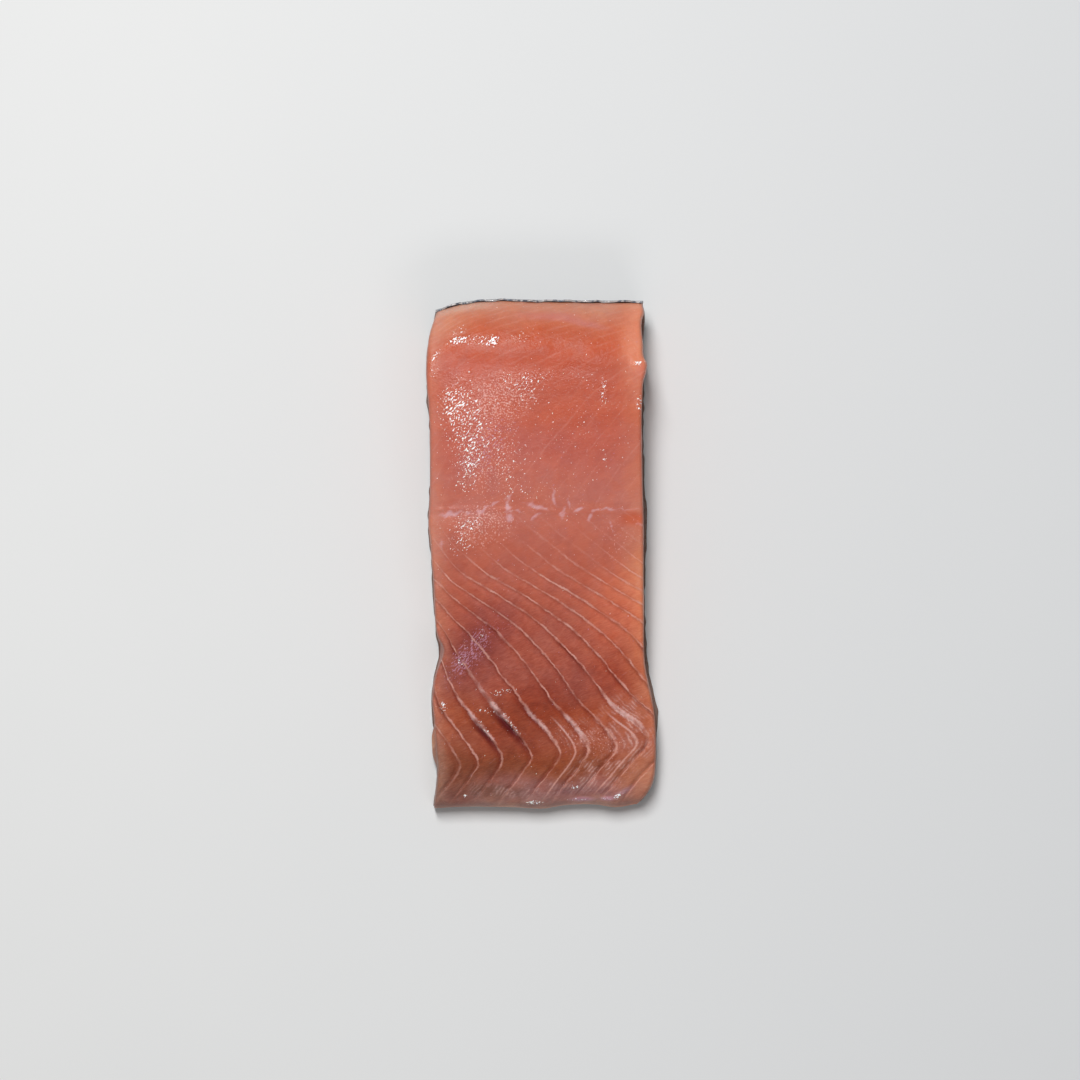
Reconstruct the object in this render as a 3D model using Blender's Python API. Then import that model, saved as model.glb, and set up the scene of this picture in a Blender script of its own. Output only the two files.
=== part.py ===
"""Raw salmon portion with its skin on, cut crosswise from one side of the fish.

Lengths are in millimetres until the meshes are made. +X is the right-hand knife
cut, +Y the thick back (loin) end, -Y the thin belly end, and Z points up from the
surface that the skin lies on. Two solids: "flesh", one block with its flakes as
relief, and "skin", the sheet under it that turns up round the back end.
"""

import math

import bpy
import numpy as np

MM = 0.001

# Skin: a sheet that lies flat, then turns up round the back end
SKIN_THICK = 0.9
SKIN_GAP = 0.3
FLOOR = SKIN_THICK + SKIN_GAP
BEND_Y = 56.0
BACK_Y = 72.5
BEND_Z = 15.0
SKIN_RIM_Z = 18.8
SKIN_BELLY_Y = -71.6
SKIN_TEETH = 0.55

# Flesh: section from the belly end to the back end, as (y, z) along the top
TOP_SECTION = (
    (-71.9, 2.4), (-71.8, 4.4), (-71.2, 6.4), (-69.7, 8.3), (-66.6, 9.8), (-61.0, 11.3),
    (-52.0, 13.0), (-38.0, 15.2), (-20.0, 18.4), (-2.0, 21.6), (8.0, 22.9),
    (18.0, 23.9), (32.0, 26.0), (46.0, 27.0), (56.0, 26.6), (62.5, 25.2),
    (67.2, 22.9), (69.8, 20.4), (71.0, 17.6), (71.3, 15.6),
)
EDGE_ROUND = 1.1
CROWN = 0.7
SIDE_LEAN = 0.45
SWELL = 0.45
SWELL_CELL = 19.0

# Outlines seen from above, as (y, x) from the belly end to the back end
FLESH_LEFT = (
    (-72.2, -30.9), (-69.8, -30.7), (-65.8, -30.1), (-61.1, -29.8), (-54.0, -30.3),
    (-47.8, -30.7), (-40.8, -31.2), (-37.1, -30.9), (-33.7, -30.2), (-30.9, -29.3),
    (-28.5, -28.7), (-26.3, -28.6), (-23.2, -29.7), (-20.1, -30.2), (-13.0, -30.6),
    (-7.2, -30.9), (-1.4, -31.4), (4.6, -31.8), (8.9, -32.2), (13.4, -32.0),
    (20.5, -31.8), (38.7, -32.0), (44.1, -32.3), (47.0, -32.6), (57.7, -32.6),
    (62.1, -32.3), (64.5, -32.0), (67.1, -31.4), (69.0, -30.8), (71.2, -30.0),
)
FLESH_RIGHT = (
    (-72.2, 27.0), (-71.0, 28.2), (-69.4, 29.6), (-67.0, 31.0), (-64.2, 31.9),
    (-59.9, 32.4), (-52.5, 32.5), (-49.1, 32.4), (-45.0, 32.1), (-40.8, 31.3),
    (-36.3, 30.3), (-32.6, 29.5), (-26.1, 29.1), (-18.4, 29.0), (3.5, 28.9),
    (12.8, 28.8), (20.5, 28.6), (30.0, 28.4), (44.1, 28.5), (49.2, 28.8),
    (52.7, 29.6), (54.3, 29.7), (56.0, 28.9), (60.3, 28.6), (67.5, 28.4),
    (69.2, 28.9), (71.2, 28.5),
)
SKIN_LEFT = (
    (-71.6, -30.6), (-61.1, -29.9), (-54.0, -30.4), (-40.8, -31.6), (-37.1, -31.2),
    (-30.9, -29.9), (-28.5, -29.3), (-23.2, -30.2), (-13.0, -31.0), (-1.4, -31.7),
    (8.9, -32.5), (20.5, -32.0), (38.7, -32.3), (44.6, -33.0), (47.2, -32.9),
    (57.7, -32.9), (62.1, -32.5), (65.0, -32.1), (68.0, -31.3), (72.5, -30.0),
)
SKIN_RIGHT = (
    (-71.6, 26.9), (-69.4, 29.1), (-64.2, 31.5), (-56.0, 32.2), (-51.3, 32.9),
    (-49.0, 33.1), (-45.0, 33.1), (-40.8, 32.3), (-35.4, 30.9), (-30.2, 30.1),
    (-21.5, 29.7), (-8.5, 29.4), (3.5, 29.9), (10.0, 29.9), (24.2, 29.2),
    (48.0, 29.1), (62.0, 28.9), (67.6, 29.2), (72.5, 28.8),
)

# How far the two ends move along y across the width, as (x, shift)
BACK_SHIFT = (
    (-33.0, -3.1), (-29.7, -2.8), (-25.9, -1.6), (-22.1, -0.7), (-15.6, 0.0), (0.9, -0.15), (33.0, -0.4),
)
BELLY_SHIFT = (
    (-31.0, -0.3), (-24.0, 0.1), (-8.0, 0.0), (1.0, -0.3), (6.0, 0.5), (16.0, 0.7), (21.0, 0.0), (26.5, 0.9),
)
END_REACH = 26.0

# Flakes: sheets that run across the flesh and turn at a chevron near the belly
SEAM_AT = (
    -59.0, -52.5, -46.5, -40.5, -34.0, -27.0, -21.5, -13.8, -5.2, 3.8, 13.0, 20.8, 29.0,
    36.8, 44.5, 52.4, 60.2, 68.0, 75.0, 82.0, 89.0, 96.5, 104.0, 111.5, 119.0, 126.5, 134.0,
)
SWEEP = (
    (-62.0, 6.5), (-59.0, 4.2), (-52.0, -0.6), (-44.0, -7.6), (-36.0, -13.7), (-28.0, -20.2),
    (-20.0, -28.6), (-12.0, -41.0), (-4.0, -55.3), (4.0, -66.5), (14.0, -80.0),
)
FAN = 0.0017
CHEVRON_Y = -57.4
CHEVRON_ROUND = 1.8
CHEVRON_TILT = 0.118
CHEVRON_BACK = 0.95
CORNER_BEND = (29.0, -49.0, 8.0, 3.4)
LEFT_BEND = (-31.0, 4.5, 4.0)
FLAKE_TOP = 4.0
FLAKE_FULL = -16.0
FLAKE_PILLOW = 0.34
SEAM_RIDGE = 0.16
SEAM_CUT = 0.5
SEAM_WIDTH = 0.5
GAPES = ((8, -48.6, 5.0, 2.9, 1.3), (7, -51.0, 4.4, 2.5, 1.2), (9, -45.5, 4.5, 1.9, 0.4), (6, -44.0, 4.0, 1.6, 0.4))
MIDLINE_Y = 12.6
MIDLINE_DIP = 0.35
MIDLINE_WIDE = 4.5
LOIN_STEP_Y = 54.0
LOIN_STEP = 0.12

# A fatty shred on the left side near the belly and a torn tongue at the right edge, as (x or share of height, y, reach, size)
SHRED = (0.36, -54.4, 5.2, 1.2)
TONGUE = (28.0, 52.0, 2.6, 0.5)

# Fineness of the meshes before they are thinned, and the triangles that are left
FLESH_CELLS = (140, 310, 8)
SKIN_CELLS = (80, 180, 1)
FLESH_TRIANGLES = 11200
SKIN_TRIANGLES = 2500


def track(stations):
    """A smooth curve through (t, value) stations, level beyond both ends."""
    t, value = (np.array(column, float) for column in zip(*stations))
    slope = np.gradient(value, t)

    def at(x):
        x = np.clip(x, t[0], t[-1])
        i = np.clip(np.searchsorted(t, x) - 1, 0, len(t) - 2)
        h = t[i + 1] - t[i]
        s = (x - t[i]) / h
        start = (1 + 2 * s) * (1 - s) ** 2 * value[i] + s * (1 - s) ** 2 * h * slope[i]
        end = s * s * (3 - 2 * s) * value[i + 1] + s * s * (s - 1) * h * slope[i + 1]
        return start + end

    return at


def path(stations, curved=True):
    """A (y, z) path by share of its length, 0 to 1, smoothed through its stations or straight between them."""
    y, z = (np.array(column, float) for column in zip(*stations))
    if curved:
        knots = np.arange(len(stations), dtype=float)
        fine = np.linspace(0.0, knots[-1], 2400)
        y, z = track(list(zip(knots, y)))(fine), track(list(zip(knots, z)))(fine)
    run = np.concatenate([[0.0], np.cumsum(np.hypot(np.diff(y), np.diff(z)))])
    run /= run[-1]
    return lambda v: (np.interp(v, run, y), np.interp(v, run, z))


def smooth(low, high, value):
    """0 below low, 1 above high, eased between."""
    t = np.clip((value - low) / (high - low), 0.0, 1.0)
    return t * t * (3 - 2 * t)


def noise(x, y, cell, seed):
    """Smooth uneven field between -1 and 1 whose lumps are about one cell wide."""
    table = np.random.default_rng(seed).uniform(-1.0, 1.0, (64, 64))
    gx, gy = np.asarray(x) / cell + 200.0, np.asarray(y) / cell + 200.0
    ix, iy = np.floor(gx).astype(int), np.floor(gy).astype(int)
    fx, fy = gx - ix, gy - iy
    fx, fy = fx * fx * (3 - 2 * fx), fy * fy * (3 - 2 * fy)

    def corner(right, up):
        return table[(ix + right) % 64, (iy + up) % 64]

    low = corner(0, 0) * (1 - fx) + corner(1, 0) * fx
    high = corner(0, 1) * (1 - fx) + corner(1, 1) * fx
    return low * (1 - fy) + high * fy


sweep_at = track(SWEEP)


def seam_position(x, y):
    """Number of seams passed at a point, whole on a seam, and the seam spacing there."""
    turn = CHEVRON_Y + CHEVRON_TILT * x
    rounded = np.hypot(y - turn, CHEVRON_ROUND)
    above, below = turn + (y - turn + rounded) / 2, (turn - y + rounded) / 2
    at_x, at_y, reach, bend = CORNER_BEND
    corner = bend * np.exp(-(((x - at_x) / reach) ** 2) - ((y - at_y) / reach) ** 2)
    edge_x, edge_reach, edge_bend = LEFT_BEND
    edge = edge_bend * np.exp(-(((x - edge_x) / edge_reach) ** 2)) * smooth(-48.0, -30.0, y)
    shift = sweep_at(above) - CHEVRON_BACK * below + corner
    fan = 1 + FAN * (np.minimum(above, MIDLINE_Y) - CHEVRON_Y)
    across = (x - edge) * fan - shift + 0.35 * noise(x, y, 8.0, 3)
    count = np.interp(across, SEAM_AT, np.arange(len(SEAM_AT)))
    lean = (sweep_at(above + 0.5) - sweep_at(above - 0.5)) * (y > turn) + CHEVRON_BACK * (y <= turn)
    spacing = np.interp(across, SEAM_AT[:-1], np.diff(SEAM_AT))
    return count, spacing / np.sqrt(1 + lean * lean)


def relief(x, y):
    """Height that the flakes, seams, gapes and midline add to the top of the flesh."""
    count, spacing = seam_position(x, y)
    away = (count - np.round(count)) * spacing
    strength = 1 - smooth(FLAKE_FULL, FLAKE_TOP, y)
    strength = strength * (0.35 + 0.65 * smooth(-70.5, -63.0, y))
    share = 2 * (count - np.floor(count)) - 1
    pillow = FLAKE_PILLOW * (1 - share * share)
    ridge = SEAM_RIDGE * np.exp(-(((away - 0.3) / SEAM_WIDTH) ** 2))
    cut = SEAM_CUT * np.exp(-(((away + 0.55) / SEAM_WIDTH) ** 2))
    height = strength * (pillow + ridge - cut)
    for seam, at_y, reach, wide, depth in GAPES:
        beside = smooth(0.02, 0.4, -away) * (1 - smooth(0.3 * wide, wide, -away)) * (np.round(count) == seam)
        height = height - depth * beside * np.exp(-(((y - at_y) / reach) ** 2))
    middle = y - MIDLINE_Y - 0.8 * noise(x, 0 * y, 11.0, 5)
    height = height - MIDLINE_DIP * np.exp(-((middle / MIDLINE_WIDE) ** 2))
    height = height + 0.3 * np.exp(-((middle / 0.7) ** 2)) * np.abs(noise(x, y, 3.2, 6))
    step = y - LOIN_STEP_Y + 0.09 * (x - 8.0)
    height = height + LOIN_STEP * np.tanh(step / 1.5) * smooth(-26.0, -18.0, x) * (1 - smooth(6.0, 12.0, step))
    at_x, at_y, reach, size = TONGUE
    height = height + size * np.exp(-(((x - at_x) / reach) ** 4) - ((y - at_y + 0.4 * (x - at_x)) / reach) ** 4)
    return height + SWELL * noise(x, y, SWELL_CELL, 7) + 0.12 * noise(x, y, 4.5, 8)


def skin_stations(inset):
    """The skin's path in (y, z), moved inwards from its outer face."""
    flat = [(SKIN_BELLY_Y, inset), (BEND_Y, inset)]
    turn = []
    for angle in np.linspace(0.0, math.pi / 2, 60)[1:]:
        turn.append((
            BEND_Y + (BACK_Y - BEND_Y - inset) * math.sin(angle),
            BEND_Z - (BEND_Z - inset) * math.cos(angle),
        ))
    return flat + turn


top_path = path(TOP_SECTION)
low_path = path([(-71.2, FLOOR)] + skin_stations(FLOOR)[1:], curved=False)
outlines = {
    "flesh": (track(FLESH_LEFT), track(FLESH_RIGHT)),
    "skin": (track(SKIN_LEFT), track(SKIN_RIGHT)),
}
back_shift, belly_shift = track(BACK_SHIFT), track(BELLY_SHIFT)


def end_shift(x, y):
    """How far a point moves along y, so that the ends aren't straight."""
    back = back_shift(x) * smooth(BACK_Y - END_REACH, BACK_Y - 2.0, y)
    belly = belly_shift(x) * (1 - smooth(SKIN_BELLY_Y + 1.0, SKIN_BELLY_Y + END_REACH, y))
    return back + belly


def flesh_points(u, v, w):
    """Flesh surface: u left to right, v belly to back, w underside to top."""
    (y_top, z_top), (y_low, z_low) = top_path(v), low_path(v)
    y = y_low + (y_top - y_low) * w
    left, right = (edge(y) for edge in outlines["flesh"])
    lean = SIDE_LEAN * (w - 0.35) + 0.3 * noise(y, 9 * w, 6.5, 12) * np.sin(math.pi * w)
    left = left + lean + 0.9 * np.exp(-(((y + 27.2) / 3.0) ** 2)) * (w - 0.5)
    right = right - lean
    level, at_y, reach, size = SHRED
    left = left - size * np.exp(-(((y - at_y) / reach) ** 4) - ((w - level) / 0.16) ** 2)
    x = left + (right - left) * u
    rim = np.minimum(x - left, right - x)
    inward = 1 - np.clip(rim / EDGE_ROUND, 0.0, 1.0)
    drop = EDGE_ROUND * (1 - np.sqrt(np.clip(1 - inward * inward, 0.0, 1.0)))
    drop = drop * np.clip((z_top - z_low) / 8.0, 0.0, 1.0)
    crown = CROWN * (1 - (2 * u - 1) ** 2)
    thick = np.clip((z_top - z_low - 1.5) / 5.0, 0.0, 1.0)
    lift = (crown + relief(x, y)) * thick * (1 - smooth(68.0, 71.0, y_top))
    z = z_low + (z_top - drop + lift - z_low) * w
    return x, y + end_shift(x, y), z


def skin_points(u, v, w):
    """Skin surface: u left to right, v belly to back rim, w outer to inner face."""
    outer, inner = path(skin_stations(0.0), False), path(skin_stations(SKIN_THICK), False)
    share = np.clip(v / 0.97, 0.0, 1.0)
    (y0, z0), (y1, z1) = outer(share), inner(share)
    y, z = y0 + (y1 - y0) * w, z0 + (z1 - z0) * w
    left, right = (edge(y) for edge in outlines["skin"])
    ragged = 0.22 * noise(y, 0 * y, 2.3, 21)
    x = (left + ragged) * (1 - u) + (right + 0.22 * noise(y, 0 * y, 2.1, 22)) * u
    rim = (SKIN_RIM_Z - BEND_Z) + SKIN_TEETH * noise(x, 0 * x, 1.9, 23) + 0.8 * noise(x, 0 * x, 14.0, 24)
    z = z + rim * np.clip((v - 0.97) / 0.03, 0.0, 1.0)
    return x, y + end_shift(x, y), z


def box_surface(cells, place, side_ease):
    """Points and quads of a box lattice's outside, put in place by a function."""
    counts = np.array(cells)
    grids = np.stack(np.meshgrid(*[np.arange(n + 1) for n in cells], indexing="ij"), -1).reshape(-1, 3)
    outside = ((grids == 0) | (grids == counts)).any(axis=1)
    number = np.full(len(grids), -1)
    number[outside] = np.arange(outside.sum())
    shape = counts + 1
    share = grids[outside] / counts
    u = share[:, 0]
    u = (1 - side_ease) * u + side_ease * (0.5 - 0.5 * np.cos(math.pi * u))
    points = np.stack(place(u, share[:, 1], share[:, 2]), axis=1)

    def index(i, j, k):
        return number[(i * shape[1] + j) * shape[2] + k]

    quads = []
    for axis in range(3):
        a, b = [n for n in range(3) if n != axis]
        p, q = np.meshgrid(np.arange(cells[a]), np.arange(cells[b]), indexing="ij")
        p, q = p.reshape(-1), q.reshape(-1)
        for side in (0, cells[axis]):
            corners = []
            for dp, dq in ((0, 0), (1, 0), (1, 1), (0, 1)):
                at = [None, None, None]
                at[axis], at[a], at[b] = np.full_like(p, side), p + dp, q + dq
                corners.append(index(*at))
            quad = np.stack(corners, axis=1)
            outward = (side > 0) == (axis != 1)
            quads.append(quad if outward else quad[:, ::-1])
    return points, np.concatenate(quads)


def make_solid(name, points, quads, triangles, colour, roughness):
    """One closed mesh object, thinned to a number of triangles, in its own material."""
    mesh = bpy.data.meshes.new(name)
    mesh.from_pydata((points * MM).tolist(), [], quads.tolist())
    mesh.update()
    solid = bpy.data.objects.new(name, mesh)
    bpy.context.scene.collection.objects.link(solid)
    thin = solid.modifiers.new("thin", "DECIMATE")
    thin.decimate_type = "COLLAPSE"
    thin.use_collapse_triangulate = True
    thin.ratio = triangles / (2 * len(quads))
    material = bpy.data.materials.new(name)
    material.use_nodes = True
    shader = material.node_tree.nodes["Principled BSDF"]
    shader.inputs["Base Color"].default_value = (*colour, 1.0)
    shader.inputs["Roughness"].default_value = roughness
    mesh.materials.append(material)
    return solid


def main():
    for old in list(bpy.data.objects):
        bpy.data.objects.remove(old, do_unlink=True)
    points, quads = box_surface(FLESH_CELLS, flesh_points, 0.35)
    make_solid("flesh", points, quads, FLESH_TRIANGLES, (0.52, 0.135, 0.08), 0.35)
    points, quads = box_surface(SKIN_CELLS, skin_points, 0.0)
    make_solid("skin", points, quads, SKIN_TRIANGLES, (0.11, 0.13, 0.16), 0.4)


main()
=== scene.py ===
"""Raw salmon portion with its skin on: the looks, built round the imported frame.

Lengths are millimetres in the classes and metres in Blender. +X is the right-hand
knife cut, +Y the thick back (loin) end, and Z points up from the skin's underside.
"""

import logging
import math
from dataclasses import dataclass
from enum import Enum
from typing import Any, Optional, Sequence

import bpy
import numpy as np
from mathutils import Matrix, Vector

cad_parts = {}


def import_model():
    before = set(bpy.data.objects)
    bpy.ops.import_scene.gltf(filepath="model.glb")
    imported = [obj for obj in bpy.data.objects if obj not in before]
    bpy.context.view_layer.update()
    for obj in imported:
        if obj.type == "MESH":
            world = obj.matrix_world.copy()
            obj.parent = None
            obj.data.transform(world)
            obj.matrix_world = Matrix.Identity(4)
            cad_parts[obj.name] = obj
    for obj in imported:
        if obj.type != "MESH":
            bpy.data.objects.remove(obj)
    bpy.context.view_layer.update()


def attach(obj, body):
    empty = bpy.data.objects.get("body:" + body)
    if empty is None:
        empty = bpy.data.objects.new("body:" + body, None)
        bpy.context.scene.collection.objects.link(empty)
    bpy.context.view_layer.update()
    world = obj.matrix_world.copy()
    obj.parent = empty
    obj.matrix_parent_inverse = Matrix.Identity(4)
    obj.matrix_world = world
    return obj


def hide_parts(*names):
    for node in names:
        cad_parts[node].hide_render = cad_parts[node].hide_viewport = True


LOG = logging.getLogger("salmon_portion")
MM = 0.001
Array = np.ndarray
Stations = Sequence[tuple[float, float]]
Socket = bpy.types.NodeSocket


def linear(hex_colour: str) -> tuple[float, float, float]:
    """Turns an sRGB hex colour into linear red, green and blue.

    Args:
        hex_colour: The colour as "#rrggbb".

    Returns:
        The three linear values, 0 to 1.
    """
    parts = [int(hex_colour[i : i + 2], 16) / 255 for i in (1, 3, 5)]
    red, green, blue = (p / 12.92 if p <= 0.04045 else ((p + 0.055) / 1.055) ** 2.4 for p in parts)
    return red, green, blue


def smooth(low: float, high: float, value: Array) -> Array:
    """Eases from 0 to 1 between two values.

    Args:
        low: Where the result is still 0.
        high: Where the result is 1.
        value: The values to ease.

    Returns:
        The eased values.
    """
    share = np.clip((value - low) / (high - low), 0.0, 1.0)
    return share * share * (3 - 2 * share)


def bell(value: Array) -> Array:
    """A bell curve that is 1 at 0 and about a third at 1."""
    return np.exp(-(value**2))


def uneven(x: Array, y: Array, cell: float, seed: int) -> Array:
    """A smooth uneven field between -1 and 1.

    Args:
        x: First coordinate, in millimetres.
        y: Second coordinate, in millimetres.
        cell: Width of one lump, in millimetres.
        seed: Which field it is.

    Returns:
        The field's value at each point.
    """
    table = np.random.default_rng(seed).uniform(-1.0, 1.0, (64, 64))
    grid_x, grid_y = np.asarray(x) / cell + 200.0, np.asarray(y) / cell + 200.0
    left, low = np.floor(grid_x).astype(int), np.floor(grid_y).astype(int)
    part_x, part_y = grid_x - left, grid_y - low
    part_x, part_y = part_x**2 * (3 - 2 * part_x), part_y**2 * (3 - 2 * part_y)

    def corner(right: int, up: int) -> Array:
        """The table's value at one corner of each cell."""
        return table[(left + right) % 64, (low + up) % 64]

    below = corner(0, 0) * (1 - part_x) + corner(1, 0) * part_x
    above = corner(0, 1) * (1 - part_x) + corner(1, 1) * part_x
    return below * (1 - part_y) + above * part_y


class Track:
    """A smooth curve through stations, level beyond both ends."""

    def __init__(self, stations: Stations) -> None:
        """Keeps the stations and the slope at each.

        Args:
            stations: The points to pass through, as (position, value).
        """
        self.at, self.value = (np.array(column, float) for column in zip(*stations))
        self.slope = np.gradient(self.value, self.at)

    def __call__(self, where: Array) -> Array:
        """Reads the curve.

        Args:
            where: Positions along the curve.

        Returns:
            The value at each position.
        """
        where = np.clip(where, self.at[0], self.at[-1])
        i = np.clip(np.searchsorted(self.at, where) - 1, 0, len(self.at) - 2)
        gap = self.at[i + 1] - self.at[i]
        s = (where - self.at[i]) / gap
        start = (1 + 2 * s) * (1 - s) ** 2 * self.value[i] + s * (1 - s) ** 2 * gap * self.slope[i]
        end = s * s * (3 - 2 * s) * self.value[i + 1] + s * s * (s - 1) * gap * self.slope[i + 1]
        return start + end


class Section:
    """A (y, z) path across the portion, read by share of its length."""

    def __init__(self, stations: Stations, curved: bool = True) -> None:
        """Lays the path.

        Args:
            stations: The points to pass through, as (y, z).
            curved: Whether it is smooth through its stations or straight between them.
        """
        y, z = (np.array(column, float) for column in zip(*stations))
        if curved:
            knots = np.arange(len(stations), dtype=float)
            fine = np.linspace(0.0, knots[-1], 4000)
            y, z = Track(list(zip(knots, y)))(fine), Track(list(zip(knots, z)))(fine)
        self.y, self.z = y, z
        run = np.concatenate([[0.0], np.cumsum(np.hypot(np.diff(y), np.diff(z)))])
        self.length = float(run[-1])
        self.share = run / self.length

    def __call__(self, share: Array) -> tuple[Array, Array]:
        """The y and z at each share of the length, from 0 to 1."""
        return np.interp(share, self.share, self.y), np.interp(share, self.share, self.z)


@dataclass(frozen=True)
class Patch:
    """An oval area of the top of the flesh, in millimetres, that fades out at its edge."""

    x: float
    y: float
    wide: float
    long: float
    strength: float = 1.0
    turn: float = 0.0
    colour: str = "#000000"

    def mask(self, x: Array, y: Array) -> Array:
        """How much of the patch is at each point.

        Args:
            x: Positions across the portion.
            y: Positions along the portion.

        Returns:
            Its strength at each point, 0 outside.
        """
        cos, sin = math.cos(math.radians(self.turn)), math.sin(math.radians(self.turn))
        dx, dy = x - self.x, y - self.y
        across, along = (dx * cos + dy * sin) / self.wide, (dy * cos - dx * sin) / self.long
        return self.strength * np.exp(-((across**2 + along**2) ** 1.5))


@dataclass(frozen=True)
class Gape:
    """A place where two flakes have come apart beside one seam, in millimetres."""

    seam: int
    y: float
    reach: float
    wide: float
    depth: float
    # How dark the painted shade in the opening is
    dark: float

    def mask(self, y: Array, number: Array, away: Array) -> Array:
        """How open the gape is at each point.

        Args:
            y: Positions along the portion.
            number: The nearest seam at each point.
            away: The distance to that seam, below zero on its belly side.

        Returns:
            1 where it is fully open, 0 outside.
        """
        beside = smooth(0.02, 0.4, -away) * (1 - smooth(0.3 * self.wide, self.wide, -away))
        return bell((y - self.y) / self.reach) * beside * (number == self.seam)


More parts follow.
